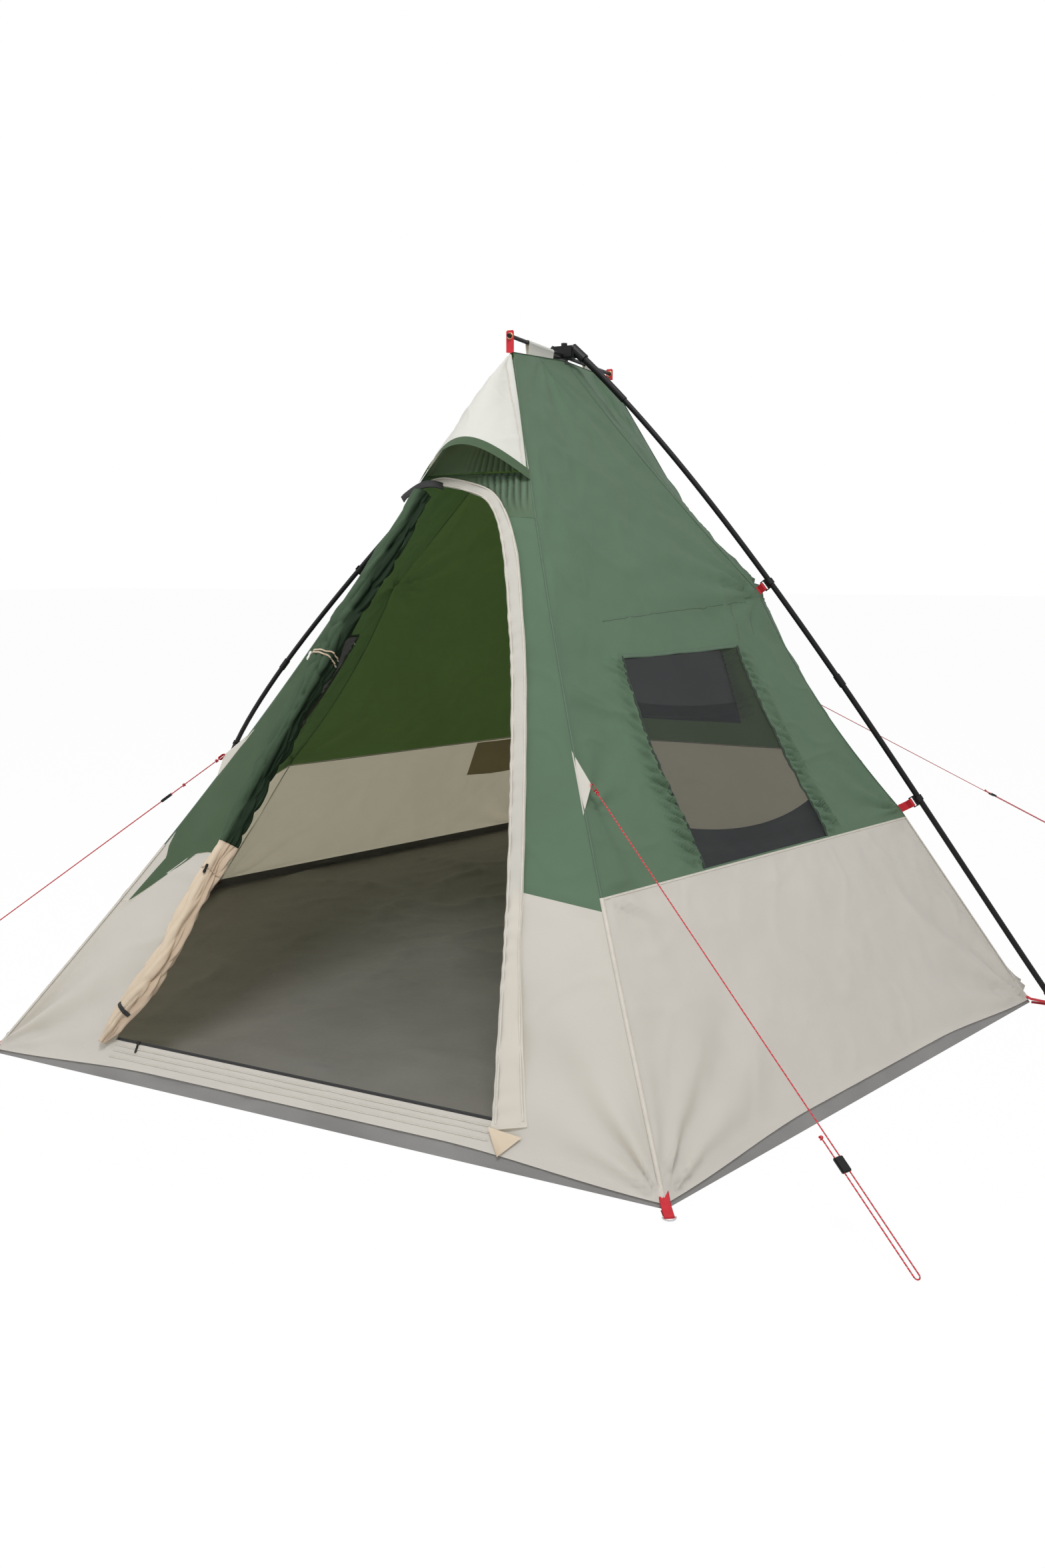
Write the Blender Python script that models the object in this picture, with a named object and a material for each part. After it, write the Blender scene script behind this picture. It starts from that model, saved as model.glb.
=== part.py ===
"""A six-sided camping tent hung from two bowed outside poles that plug into a hub over a short ridge rod.

Metres, +Z up. X runs along the door face, the door looks towards -Y, the ridge runs along Y.
The origin is on the ground under the hub.
"""
import math

import bmesh
import bpy
from mathutils import Matrix, Vector

# Floor plan and heights of the fabric
FACE_HALF_WIDTH = 0.952
FACE_REACH = 1.624
SIDE_REACH = 1.540
RIDGE_HALF = 0.386
RIDGE_MID_Z = 1.948
RIDGE_FRONT_Z = RIDGE_MID_Z - 0.030
RIDGE_REAR_Z = RIDGE_MID_Z - 0.003
RIDGE_SLIT = 0.004
SEAM_HEIGHT = 0.534
FLOOR_RISE = 0.035
SKIRT_FOOT = 0.0366
EDGE_HOLLOW = 0.028
LEFT_HOLLOW = 0.043
LEFT_HOLLOW_TOP = 1.600

# The side edges are pulled out at two webbing tabs and hang slightly hollow between them
TAB_UPPER = (0.669, 1.212)
TAB_LOWER = (1.133, 0.557)
SAG_ABOVE = 0.017
SAG_BETWEEN = 0.038

# Cloth, webbing and the clearances between neighbours
CLOTH = 0.002
MESH_CLOTH = 0.001
WEBBING = 0.0012
WEBBING_WIDTH = 0.025
GAP = 0.0004
CORNER_INSET = 0.0016
SIDE_INSET = 0.0009
INSET_GROWTH = 0.6

# Door in the front face, as half widths and heights in that face
DOOR_FOOT_LEFT = 0.575
DOOR_HEAD_LEFT = 0.170
DOOR_HEAD_Z = 1.500
SILL_TOP = 0.083
SHOULDER_Z = 1.300
SHOULDER_DROP = 0.100
ARCH = ((0.543, 0.035), (0.490, 0.258), (0.416, 0.565), (0.299, 0.966), (0.226, 1.165),
        (0.172, 1.298), (0.120, 1.400), (0.062, 1.467), (-0.015, 1.497), (-0.100, 1.513))
FLAP_FOOT_WIDTH = 0.105
FLAP_WIDTH = 0.043
FLAP_CROWN_WIDTH = 0.030
FLAP_OVERLAP = 0.012
FLAP_FLARE_Z = 0.420
CROWN_Z = 1.548

# Hood over the vent above the door
HOOD_RIM_Z = 1.553
HOOD_RIM_RISE = 0.030
HOOD_REACH = 0.110
HOOD_HEM = 0.030
HOOD_PUFF = 0.020
HOOD_SEAT = 0.0019
HOOD_TOP = 0.955

# Side windows, as shares of the wall's width and heights on it
WINDOW_FOOT = (0.28, 0.688)
WINDOW_HEAD = (0.245, 0.750)
WINDOW_FOOT_Z = 0.552
WINDOW_HEAD_Z = 1.055
BACK_WINDOW_FOOT = (0.27, 0.73)
BACK_WINDOW_HEAD = (0.22, 0.78)
BACK_WINDOW_FOOT_Z = 0.640
BACK_WINDOW_HEAD_Z = 1.000
COVER_DROOP = 0.066
COVER_END_RISE = 0.032
COVER_BULK = 0.026

# Rolled door panel
ROLL_HEIGHTS = (0.095, 0.300, 0.546, 0.755, 0.950, 1.080, 1.200, 1.320, 1.400, 1.478)
ROLL_RADII = (0.030, 0.037, 0.038, 0.046, 0.050, 0.052, 0.062, 0.046, 0.036, 0.044)
ROLL_SHIFTS = (-0.020, 0.020, 0.034, 0.036, 0.034, 0.030, 0.026, 0.026, 0.028, 0.024)
ROLL_DEPTH = 0.72
ROLL_STANDOFF = 0.0040
ROLL_SEAM_Z = 0.546
ROLL_SIDES = 18
TIE_HEIGHTS = (0.470, 1.000, 1.448)
TIE_WIDTHS = (0.010, 0.022, 0.026)
TIE_TAIL = 0.022
TIE_TAIL_FRONT = 0.0030
TOGGLE_RADIUS = 0.0036
TOGGLE_HALF = 0.011

# Frame
POLE_RADIUS = 0.0085
ARM_RADIUS = 0.0110
FERRULE_RADIUS = 0.0108
FERRULE_HALF = 0.020
ROD_RADIUS = 0.0060
GROMMET_RADIUS = 0.0096
GROMMET_HALF = 0.0014
END_TAB_HEAD = 0.016
ROD_HALF = RIDGE_HALF + 0.023
ROD_Z = RIDGE_MID_Z + 0.015
SLEEVES = ((-0.280, -0.096), (0.166, 0.286))
TAPE_WIDTH = 0.013
POLE_START = (0.052, ROD_Z + 0.005)
POLE_END = (1.600, 0.018)
POLE_START_SLOPE = -0.90
POLE_END_SLOPE = -1.35
POLE_START_PULL = 0.75
POLE_END_PULL = 0.60
ARM_SHARE = 0.095
JOINT_SHARE = 0.52
LEFT_BULGE = 0.120
LEFT_SWAY = 0.210
RUN_CLEARANCE = 0.0004
SOCKET_CLEARANCE = 0.0008
FERRULE_CLEARANCE = 0.0006
HUB_HALF_X = 0.040
HUB_HALF_Y = 0.021
HUB_FOOT_Z = ROD_Z - 0.0105
HUB_TOP_Z = ROD_Z + 0.031
HUB_KNOB_TOP = HUB_TOP_Z + 0.010
HUB_KNOB_RADIUS = 0.010
HUB_TAB_X = 0.0129
HUB_TAB_WIDTH = 0.020
HUB_TAB_DROP = 0.0145
SOCKET_BACK = 0.030
SOCKET_DEPTH = 0.028
SOCKET_RADIUS = 0.0155
FOOT_RADIUS = 0.0105
FOOT_NECK = 0.0070
FOOT_PIN_RADIUS = 0.0025
FOOT_SHARE = 0.985

# Clips, rings and guy-lines
CLIP_WALL = 0.0035
CLIP_HALF_LENGTH = 0.009
CLIP_PLATE = 0.0035
SLOT_NEAR = 0.0165
SLOT_FAR = 0.0225
CLIP_REACH = 0.0270
LOOP_HALF_HEIGHT = 0.0080
LOOP_SLACK = 0.0011
LOOP_NECK = 0.012
RING_WIRE = 0.0016
RING_RADIUS = 0.0140
RING_Z = 0.0036
CORNER_TAB = 0.036
TAB_WIDTH = 0.0225
PATCH_TOP_Z = 0.840
PATCH_FOOT_Z = 0.700
PATCH_TIP_Z = 0.768
PATCH_REACH = 0.031
PATCH_LAP = 0.006
LOOP_HALF = 0.0045
LOOP_REACH = 0.023
PATCH_PROUD = 0.0012
PATCH_SUNK = 0.0007
CORD_RADIUS = 0.0015
STRAND_GAP = 0.0140
CORD_TAIL = 0.060
FRONT_PEG = (1.456, -1.657)
BACK_PEG = (1.600, 2.500)
TENSIONER_SHARES = {"front_right": 0.81, "front_left": 0.14, "back_right": 0.64}
TENSIONER_LENGTH = 0.034
TENSIONER_WIDTH = 0.024
TENSIONER_DEPTH = 0.0075
TENSIONER_BORE = 0.0023

# Pocket on the left rear skirt, as shares of the wall's width
POCKET_START = 0.03
POCKET_SHARE = 0.26
POCKET_FOOT_Z = 0.365

CENTRE = Vector((0.0, 0.0, 0.6))
UP = Vector((0.0, 0.0, 1.0))


def material(name, rgb, roughness, metallic=0.0):
    """A Principled material of one colour, shared by every sub-part that uses its name."""
    made = bpy.data.materials.get(name) or bpy.data.materials.new(name)
    made.use_nodes = True
    shader = made.node_tree.nodes["Principled BSDF"]
    shader.inputs["Base Color"].default_value = (*rgb, 1.0)
    shader.inputs["Roughness"].default_value = roughness
    shader.inputs["Metallic"].default_value = metallic
    made.diffuse_color = (*rgb, 1.0)
    return made


def palette():
    """The finishes of the tent."""
    return {
        "green": material("green_cloth", (0.115, 0.190, 0.125), 0.75),
        "cream": material("cream_cloth", (0.640, 0.610, 0.530), 0.78),
        "grey": material("grey_groundsheet", (0.150, 0.145, 0.138), 0.60),
        "mesh": material("black_netting", (0.030, 0.032, 0.034), 0.85),
        "dark": material("dark_green_cloth", (0.035, 0.070, 0.040), 0.80),
        "brown": material("olive_cloth", (0.230, 0.190, 0.110), 0.80),
        "red": material("red_webbing", (0.560, 0.012, 0.020), 0.65),
        "black": material("black_plastic", (0.012, 0.012, 0.013), 0.40),
        "pole": material("black_pole", (0.016, 0.016, 0.018), 0.32),
        "steel": material("steel", (0.620, 0.620, 0.630), 0.25, 1.0),
        "brass": material("brass", (0.720, 0.560, 0.260), 0.30, 1.0),
        "rope": material("rope", (0.500, 0.060, 0.070), 0.80),
    }


def link(name, data, finish):
    """Put mesh or curve data into the scene as one named object."""
    made = bpy.data.objects.new(name, data)
    bpy.context.scene.collection.objects.link(made)
    if finish:
        data.materials.append(finish)
    return made


def mesh_object(name, points, faces, finish, smooth=True):
    """One object from points and faces, with its faces turned outwards."""
    shape = bmesh.new()
    corners = [shape.verts.new(point) for point in points]
    for face in faces:
        shape.faces.new([corners[i] for i in face])
    bmesh.ops.recalc_face_normals(shape, faces=shape.faces[:])
    data = bpy.data.meshes.new(name)
    shape.to_mesh(data)
    shape.free()
    if smooth:
        data.shade_smooth()
        data.set_sharp_from_angle(angle=math.radians(40))
    return link(name, data, finish)


def grid_normals(grid, side):
    """A normal for each point of a grid of rows, turned towards the point side."""
    rows, columns = len(grid), len(grid[0])
    normals = []
    for i in range(rows):
        line = []
        for j in range(columns):
            along = grid[i][min(j + 1, columns - 1)] - grid[i][max(j - 1, 0)]
            up = grid[min(i + 1, rows - 1)][j] - grid[max(i - 1, 0)][j]
            normal = along.cross(up).normalized()
            if normal.dot(side - grid[i][j]) < 0:
                normal.negate()
            line.append(normal)
        normals.append(line)
    return normals


def sheet_parts(grid, thickness, side=CENTRE, holes=(), start=0):
    """Points and faces of a closed sheet: the grid is one face, and the other lies towards side."""
    rows, columns = len(grid), len(grid[0])
    normals = grid_normals(grid, side)
    points = [point for line in grid for point in line]
    for i in range(rows):
        for j in range(columns):
            deep = thickness(i, j) if callable(thickness) else thickness
            points.append(grid[i][j] + normals[i][j] * deep)
    back = rows * columns
    faces = []
    rim = {}
    for i in range(rows - 1):
        for j in range(columns - 1):
            if (i, j) in holes:
                continue
            a = i * columns + j
            ring = (a, a + 1, a + columns + 1, a + columns)
            faces.append([start + k for k in ring])
            faces.append([start + back + k for k in reversed(ring)])
            for k in range(4):
                pair = (ring[k], ring[(k + 1) % 4])
                if pair[::-1] in rim:
                    del rim[pair[::-1]]
                else:
                    rim[pair] = True
    for a, b in rim:
        faces.append([start + a, start + back + a, start + back + b, start + b])
    used = sorted({k for face in faces for k in face})
    order = {k: start + n for n, k in enumerate(used)}
    kept = [points[k - start] for k in used]
    return kept, [[order[k] for k in face] for face in faces]


def sheet(name, grid, finish, thickness=CLOTH, side=CENTRE, holes=()):
    """A cloth panel as one closed solid."""
    points, faces = sheet_parts(grid, thickness, side, holes)
    return mesh_object(name, points, faces, finish)


def smooth_path(points, count):
    """Points at even steps along a smooth curve through the given points."""
    knots = [Vector(point) for point in points]
    knots = [knots[0] * 2 - knots[1]] + knots + [knots[-1] * 2 - knots[-2]]
    fine = []
    steps = 24
    for k in range(1, len(knots) - 2):
        a, b, c, d = knots[k - 1:k + 3]
        for n in range(steps):
            t = n / steps
            fine.append(0.5 * ((2 * b) + (c - a) * t + (2 * a - 5 * b + 4 * c - d) * t * t
                               + (3 * b - a - 3 * c + d) * t ** 3))
    fine.append(knots[-2])
    lengths = [0.0]
    for k in range(1, len(fine)):
        lengths.append(lengths[-1] + (fine[k] - fine[k - 1]).length)
    path = []
    k = 0
    for n in range(count):
        goal = lengths[-1] * n / (count - 1)
        while k < len(lengths) - 2 and lengths[k + 1] < goal:
            k += 1
        share = (goal - lengths[k]) / max(lengths[k + 1] - lengths[k], 1e-9)
        path.append(fine[k].lerp(fine[k + 1], share))
    return path


def curve_rod(name, path, radius, finish, cyclic=False, resolution=3):
    """A round bar or cord along a path, as a curve with a bevel and filled caps."""
    data = bpy.data.curves.new(name, "CURVE")
    data.dimensions = "3D"
    data.bevel_depth = radius
    data.bevel_resolution = resolution
    data.use_fill_caps = True
    data.twist_mode = "MINIMUM"
    spline = data.splines.new("POLY")
    spline.points.add(len(path) - 1)
    for point, place in zip(spline.points, path):
        point.co = (*place, 1.0)
    spline.use_cyclic_u = cyclic
    return link(name, data, finish)


def basis(origin, x_axis, y_axis):
    """A placement whose X and Y follow the given directions."""
    x = x_axis.normalized()
    z = x.cross(y_axis).normalized()
    y = z.cross(x)
    return Matrix.Translation(origin) @ Matrix((x, y, z)).transposed().to_4x4()


def block(name, low, high, place, finish, bevel=0.0):
    """A box between two corners, in the axes of place."""
    shape = bmesh.new()
    bmesh.ops.create_cube(shape, size=1.0)
    low, high = Vector(low), Vector(high)
    middle, size = (low + high) / 2, high - low
    for vert in shape.verts:
        vert.co = middle + Vector([vert.co[k] * size[k] for k in range(3)])
    if bevel:
        bmesh.ops.bevel(shape, geom=shape.edges[:], offset=bevel, segments=2, affect="EDGES")
    data = bpy.data.meshes.new(name)
    shape.to_mesh(data)
    shape.free()
    made = link(name, data, finish)
    made.matrix_world = place
    return made


def swept(name, stations, finish, sides=14):
    """A round body along a bent line; stations list (centre, direction, radius) from end to end."""
    points, faces = [], []
    for centre, along, radius in stations:
        place = basis(centre, along, Vector((0.0, 1.0, 0.0)))
        for k in range(sides):
            angle = 2 * math.pi * k / sides
            points.append(place @ Vector((0.0, radius * math.cos(angle), radius * math.sin(angle))))
    for n in range(len(stations) - 1):
        for k in range(sides):
            a, m = n * sides, (k + 1) % sides
            faces.append((a + k, a + m, a + sides + m, a + sides + k))
    faces.append(tuple(range(sides)))
    faces.append(tuple(range((len(stations) - 1) * sides, len(stations) * sides)))
    return mesh_object(name, points, faces, finish)


def cylinder(name, radius, start, end, finish=None, sides=24):
    """A solid round bar between two points."""
    shape = bmesh.new()
    bmesh.ops.create_cone(shape, cap_ends=True, segments=sides, radius1=radius, radius2=radius,
                          depth=(end - start).length)
    data = bpy.data.meshes.new(name)
    shape.to_mesh(data)
    shape.free()
    data.shade_smooth()
    data.set_sharp_from_angle(angle=math.radians(40))
    made = link(name, data, finish)
    turn = UP.rotation_difference(end - start).to_matrix().to_4x4()
    made.matrix_world = Matrix.Translation((start + end) / 2) @ turn
    return made


def combine(target, operation, cutter):
    """Join or cut with another object, which is hidden."""
    cutter.hide_render = True
    cutter.display_type = "WIRE"
    step = target.modifiers.new(cutter.name, "BOOLEAN")
    step.operation = operation
    step.solver = "EXACT"
    step.object = cutter
    return target


def ridge_top(y):
    """Height of the ridge seam at y."""
    if y < 0:
        return RIDGE_MID_Z + (RIDGE_FRONT_Z - RIDGE_MID_Z) * (-y / RIDGE_HALF)
    return RIDGE_MID_Z + (RIDGE_REAR_Z - RIDGE_MID_Z) * (y / RIDGE_HALF)


def corner_edge(side, end):
    """The edge of the fabric from a front or back floor corner up to the ridge's end."""
    top = RIDGE_FRONT_Z if end < 0 else RIDGE_REAR_Z

    def place(z):
        t = z / top
        x = FACE_HALF_WIDTH * (1 - t) - EDGE_HOLLOW * math.sin(math.pi * t) + RIDGE_SLIT * t
        if side < 0 and end < 0:
            x -= LEFT_HOLLOW * math.sin(math.pi * min(z / LEFT_HOLLOW_TOP, 1.0))
        return Vector((side * x, end * (FACE_REACH * (1 - t) + RIDGE_HALF * t), z))
    return place, top


def side_edge(side):
    """The edge of the fabric from a side floor corner up to the hub, pulled out at its tabs."""
    knots = ((SIDE_REACH, 0.0, 0.0), (*TAB_LOWER, 0.0), (*TAB_UPPER, SAG_BETWEEN),
             (RIDGE_SLIT, RIDGE_MID_Z, SAG_ABOVE))

    def place(z):
        for (x0, z0, _), (x1, z1, sag) in zip(knots, knots[1:]):
            if z <= z1 + 1e-9:
                break
        t = (z - z0) / (z1 - z0)
        x = x0 + (x1 - x0) * t - 4 * sag * t * (1 - t)
        return Vector((side * x, 0.0, z))
    return place, RIDGE_MID_Z


def level(edge, height):
    """A point of an edge; above the seam, heights stretch to the edge's own top."""
    place, top = edge
    if height > SEAM_HEIGHT:
        share = (height - SEAM_HEIGHT) / (RIDGE_MID_Z - SEAM_HEIGHT)
        height = SEAM_HEIGHT + share * (top - SEAM_HEIGHT)
    return place(height)


def grown_inset(inset, height):
    """Insets grow towards the ridge, where neighbouring walls meet at a sharper angle."""
    return inset * (1 + INSET_GROWTH * height / RIDGE_MID_Z)


def wall_point(wall, share, height):
    """A point of a wall's outer face, between its two edges."""
    edge_a, edge_b, inset_a, inset_b = wall
    inset_a, inset_b = grown_inset(inset_a, height), grown_inset(inset_b, height)
    a, b = level(edge_a, height), level(edge_b, height)
    width = (b - a).length
    return a.lerp(b, (inset_a + share * (width - inset_a - inset_b)) / width)


def walls():
    """Each wall as its two edges with the insets that keep neighbouring panels apart."""
    made = {}
    for side, word in ((1, "right"), (-1, "left")):
        for end, place in ((-1, "front"), (1, "back")):
            made[word + "_" + place] = (corner_edge(side, end), side_edge(side),
                                        CORNER_INSET, SIDE_INSET)
    made["back"] = (corner_edge(1, 1), corner_edge(-1, 1), CORNER_INSET, CORNER_INSET)
    made["front"] = (corner_edge(-1, -1), corner_edge(1, -1), CORNER_INSET, CORNER_INSET)
    return made


def blend_value(a, b, t):
    """Straight blend of two numbers, held at its ends."""
    return a + (b - a) * min(max(t, 0.0), 1.0)


def window_columns(foot, head, foot_z, head_z, height):
    """Shares of the wall's width where its columns lie at a height, with the window between."""
    t = (height - foot_z) / (head_z - foot_z)
    left = blend_value(foot[0], head[0], t)
    right = blend_value(foot[1], head[1], t)
    third = (right - left) / 3
    return [0.0, left / 2, left, left + third, right - third, right, (1 + right) / 2, 1.0]


def wall_heights(foot_z, head_z):
    """Rows of a wall with a window: below it, beside it and above it."""
    beside = [foot_z + (head_z - foot_z) * k / 5 for k in range(6)]
    top = RIDGE_MID_Z - 0.003
    above = [head_z + (top - head_z) * k / 6 for k in range(1, 7)]
    return [SEAM_HEIGHT + GAP] + beside + above


def windowed_wall(name, wall, foot, head, foot_z, head_z, finish, mesh_finish):
    """A green wall with its window cut out, and the netting that fills the window."""
    heights = wall_heights(foot_z, head_z)
    grid = []
    for height in heights:
        shares = window_columns(foot, head, foot_z, head_z, height)
        grid.append([wall_point(wall, share, height) for share in shares])
    holes = {(i, j) for i in range(1, 6) for j in (2, 3, 4)}
    sheet("wall_" + name, grid, finish, holes=holes)
    net = []
    margin = 0.0005
    for height in heights[1:7]:
        shares = window_columns(foot, head, foot_z, head_z, height)[2:6]
        width = (wall_point(wall, 1.0, height) - wall_point(wall, 0.0, height)).length
        shares[0] += margin / width
        shares[-1] -= margin / width
        clear = min(max(height, foot_z + margin), head_z - margin)
        net.append([wall_point(wall, share, clear) for share in shares])
    normals = grid_normals(net, CENTRE)
    net = [[p + n * MESH_CLOTH / 2 for p, n in zip(*pair)] for pair in zip(net, normals)]
    sheet("window_net_" + name, net, mesh_finish, thickness=MESH_CLOTH)


def plain_wall(name, wall, low, high, finish, columns=6, rows=7):
    """A panel between two heights of a wall."""
    grid = []
    for i in range(rows):
        height = low + (high - low) * i / (rows - 1)
        grid.append([wall_point(wall, j / (columns - 1), height) for j in range(columns)])
    return sheet(name, grid, finish)


def build_walls(finish):
    """The five closed walls: green above the seam and a cream skirt below it."""
    sides = walls()
    top = RIDGE_MID_Z - 0.003
    side_window = (WINDOW_FOOT, WINDOW_HEAD, WINDOW_FOOT_Z, WINDOW_HEAD_Z)
    back_window = (BACK_WINDOW_FOOT, BACK_WINDOW_HEAD, BACK_WINDOW_FOOT_Z, BACK_WINDOW_HEAD_Z)
    windows = (("right_front", side_window), ("left_front", side_window), ("back", back_window))
    for name, window in windows:
        windowed_wall(name, sides[name], *window, finish["green"], finish["mesh"])
        window_cover(name, sides[name], *window, finish["dark"])
    for name in ("right_back", "left_back"):
        plain_wall("wall_" + name, sides[name], SEAM_HEIGHT + GAP, top, finish["green"], 7, 13)
    for name in ("right_front", "left_front", "right_back", "left_back", "back"):
        plain_wall("skirt_" + name, sides[name], SKIRT_FOOT, SEAM_HEIGHT,
                   finish["cream"], 7, 4)


def window_cover(name, wall, foot, head, foot_z, head_z, finish):
    """The cover rolled down inside a window, drooping between its two bottom corners."""
    columns, rows = 11, 7
    grid = []
    for i in range(rows):
        line = []
        for j in range(columns):
            across = j / (columns - 1)
            tall = COVER_DROOP + COVER_END_RISE * (2 * across - 1) ** 2
            height = foot_z + tall * i / (rows - 1)
            shares = window_columns(foot, head, foot_z, head_z, height)
            share = shares[2] + (shares[5] - shares[2]) * (0.03 + 0.94 * across)
            line.append(wall_point(wall, share, height))
        grid.append(line)
    normals = grid_normals(grid, CENTRE)
    inner = [[p + n * (CLOTH + 0.0006) for p, n in zip(*pair)] for pair in zip(grid, normals)]

    def bulk(i, j):
        swell = math.sin(math.pi * (i + 0.5) / rows) ** 0.5
        fold = 1 + 0.25 * math.cos(2 * math.pi * 2 * i / (rows - 1))
        return 0.004 + COVER_BULK * swell * fold * (0.45 + 0.55 * math.sin(math.pi * j / (columns - 1)))
    sheet("window_cover_" + name, inner, finish, thickness=bulk)


def floor_ring(z):
    """The six corners of the fabric at a height, in order round the tent."""
    return [corner_edge(-1, -1)[0](z), corner_edge(1, -1)[0](z), side_edge(1)[0](z),
            corner_edge(1, 1)[0](z), corner_edge(-1, 1)[0](z), side_edge(-1)[0](z)]


def build_groundsheet(finish):
    """A tray of grey sheet: the floor with a low rim that the skirts are sewn to."""
    shrink = 1 - 0.0026 / 1.45
    inward = Matrix.Diagonal((shrink, shrink, 1.0))
    low = floor_ring(0.0)
    high = floor_ring(FLOOR_RISE)
    high_inner = [inward @ point for point in high]
    floor_inner = [inward @ point for point in floor_ring(CLOTH)]
    points = low + high + high_inner + floor_inner
    faces = [[5, 4, 3, 2, 1, 0], [18, 19, 20, 21, 22, 23]]
    for ring in range(3):
        for k in range(6):
            a, b = ring * 6, ring * 6 + 6
            faces.append([a + k, a + (k + 1) % 6, b + (k + 1) % 6, b + k])
    return mesh_object("groundsheet", points, faces, finish["grey"], smooth=False)


def face_slope():
    """How far the front face leans back for each metre of height."""
    return (FACE_REACH - RIDGE_HALF) / RIDGE_FRONT_Z


def face_normal():
    """The outward direction of the front face."""
    return Vector((0.0, -1.0, face_slope())).normalized()


def face_point(x, z, out=0.0):
    """A point of the front face, out metres in front of it."""
    return Vector((x, -FACE_REACH + face_slope() * z, z)) + face_normal() * out


def face_limit(z, side=1):
    """How far the cloth of the front face reaches to one side at a height."""
    return side * corner_edge(side, -1)[0](z).x - grown_inset(CORNER_INSET, z)


def door_left(z):
    """The door's left side, where its panel is sewn on."""
    t = (z - FLOOR_RISE) / (DOOR_HEAD_Z - FLOOR_RISE)
    return -(DOOR_FOOT_LEFT + (DOOR_HEAD_LEFT - DOOR_FOOT_LEFT) * t)


def arch_path(count):
    """The free side of the doorway, from the sill round to the crown, as (x, z) with outward normals."""
    path = smooth_path([(x, z, 0.0) for x, z in ARCH], count)
    made = []
    for k, point in enumerate(path):
        tangent = (path[min(k + 1, count - 1)] - path[max(k - 1, 0)]).normalized()
        made.append((point, Vector((tangent.y, -tangent.x, 0.0))))
    return made


def arch_x(z, offset=0.0):
    """Where the free side of the doorway crosses a height."""
    fine = [point + normal * offset for point, normal in arch_path(120)]
    for a, b in zip(fine, fine[1:]):
        if a.y <= z <= b.y:
            return a.x + (b.x - a.x) * (z - a.y) / (b.y - a.y)
    return fine[0].x


def flap_width(z):
    """Width of the door's edge flap: flared at its foot, narrower round the crown."""
    if z < FLAP_FLARE_Z:
        rise = max(z - FLOOR_RISE, 0.0) / (FLAP_FLARE_Z - FLOOR_RISE)
        return blend_value(FLAP_FOOT_WIDTH, FLAP_WIDTH, rise ** 0.7)
    return blend_value(FLAP_WIDTH, FLAP_CROWN_WIDTH, (z - SHOULDER_Z) / (DOOR_HEAD_Z - SHOULDER_Z))


def build_front(finish):
    """The door face: skirt pieces, sill, wall strips round the doorway, flap, vent and hood."""
    build_front_skirt(finish)
    grid = []
    for i in range(9):
        z = SEAM_HEIGHT + GAP + (DOOR_HEAD_Z - SEAM_HEIGHT - GAP) * i / 8
        left, right = -face_limit(z, -1), door_left(z)
        grid.append([face_point(left + (right - left) * j / 3, z) for j in range(4)])
    sheet("wall_front_left", grid, finish["green"])
    build_arch_wall(finish)
    build_flap(finish)
    build_hood(finish)


def build_front_skirt(finish):
    """The cream skirt of the door face: both sides of the doorway and the sill under it."""
    heights = [SKIRT_FOOT, SILL_TOP]
    heights += [SILL_TOP + (SEAM_HEIGHT - SILL_TOP) * k / 4 for k in range(1, 5)]
    grid = []
    for z in heights:
        stops = (-face_limit(z, -1), door_left(z), arch_x(z, FLAP_OVERLAP), face_limit(z))
        line = []
        for (a, b), count in zip(zip(stops, stops[1:]), (3, 6, 3)):
            line += [face_point(a + (b - a) * j / count, z) for j in range(count)]
        line.append(face_point(stops[3], z))
        grid.append(line)
    holes = {(i, j) for i in range(1, 5) for j in range(3, 9)}
    sheet("skirt_front", grid, finish["cream"], holes=holes)


def build_arch_wall(finish):
    """The green strip right of the doorway that runs on over its crown to the left edge."""
    foot = SEAM_HEIGHT + GAP
    curve = [(p + n * FLAP_OVERLAP) for p, n in arch_path(90)]
    curve = [p for p in curve if p.y > foot + 0.012]
    inner = [Vector((arch_x(foot, FLAP_OVERLAP), foot, 0.0))] + curve[::3] + [curve[-1]]
    inner.append(Vector((door_left(DOOR_HEAD_Z) - 0.004, DOOR_HEAD_Z + 0.0026, 0.0)))
    side_top = CROWN_Z - SHOULDER_DROP
    outer = []
    rising = [p for p in inner if p.y < SHOULDER_Z]
    for p in rising:
        z = foot + (side_top - foot) * (p.y - foot) / (SHOULDER_Z - foot)
        outer.append(Vector((face_limit(z), z, 0.0)))
    corner = Vector((face_limit(CROWN_Z), CROWN_Z, 0.0))
    rest = len(inner) - len(rising)
    far = Vector((-face_limit(CROWN_Z, -1), CROWN_Z, 0.0))
    climb = 2
    for k in range(1, rest + 1):
        if k <= climb:
            z = side_top + SHOULDER_DROP * k / climb
            outer.append(Vector((face_limit(z), z, 0.0)))
        else:
            outer.append(corner.lerp(far, (k - climb) / (rest - climb)))
    grid = [[face_point(p.x, p.y), face_point((p.x + q.x) / 2, (p.y + q.y) / 2),
             face_point(q.x, q.y)] for p, q in zip(inner, outer)]
    sheet("wall_front_arch", grid, finish["green"])


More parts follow.
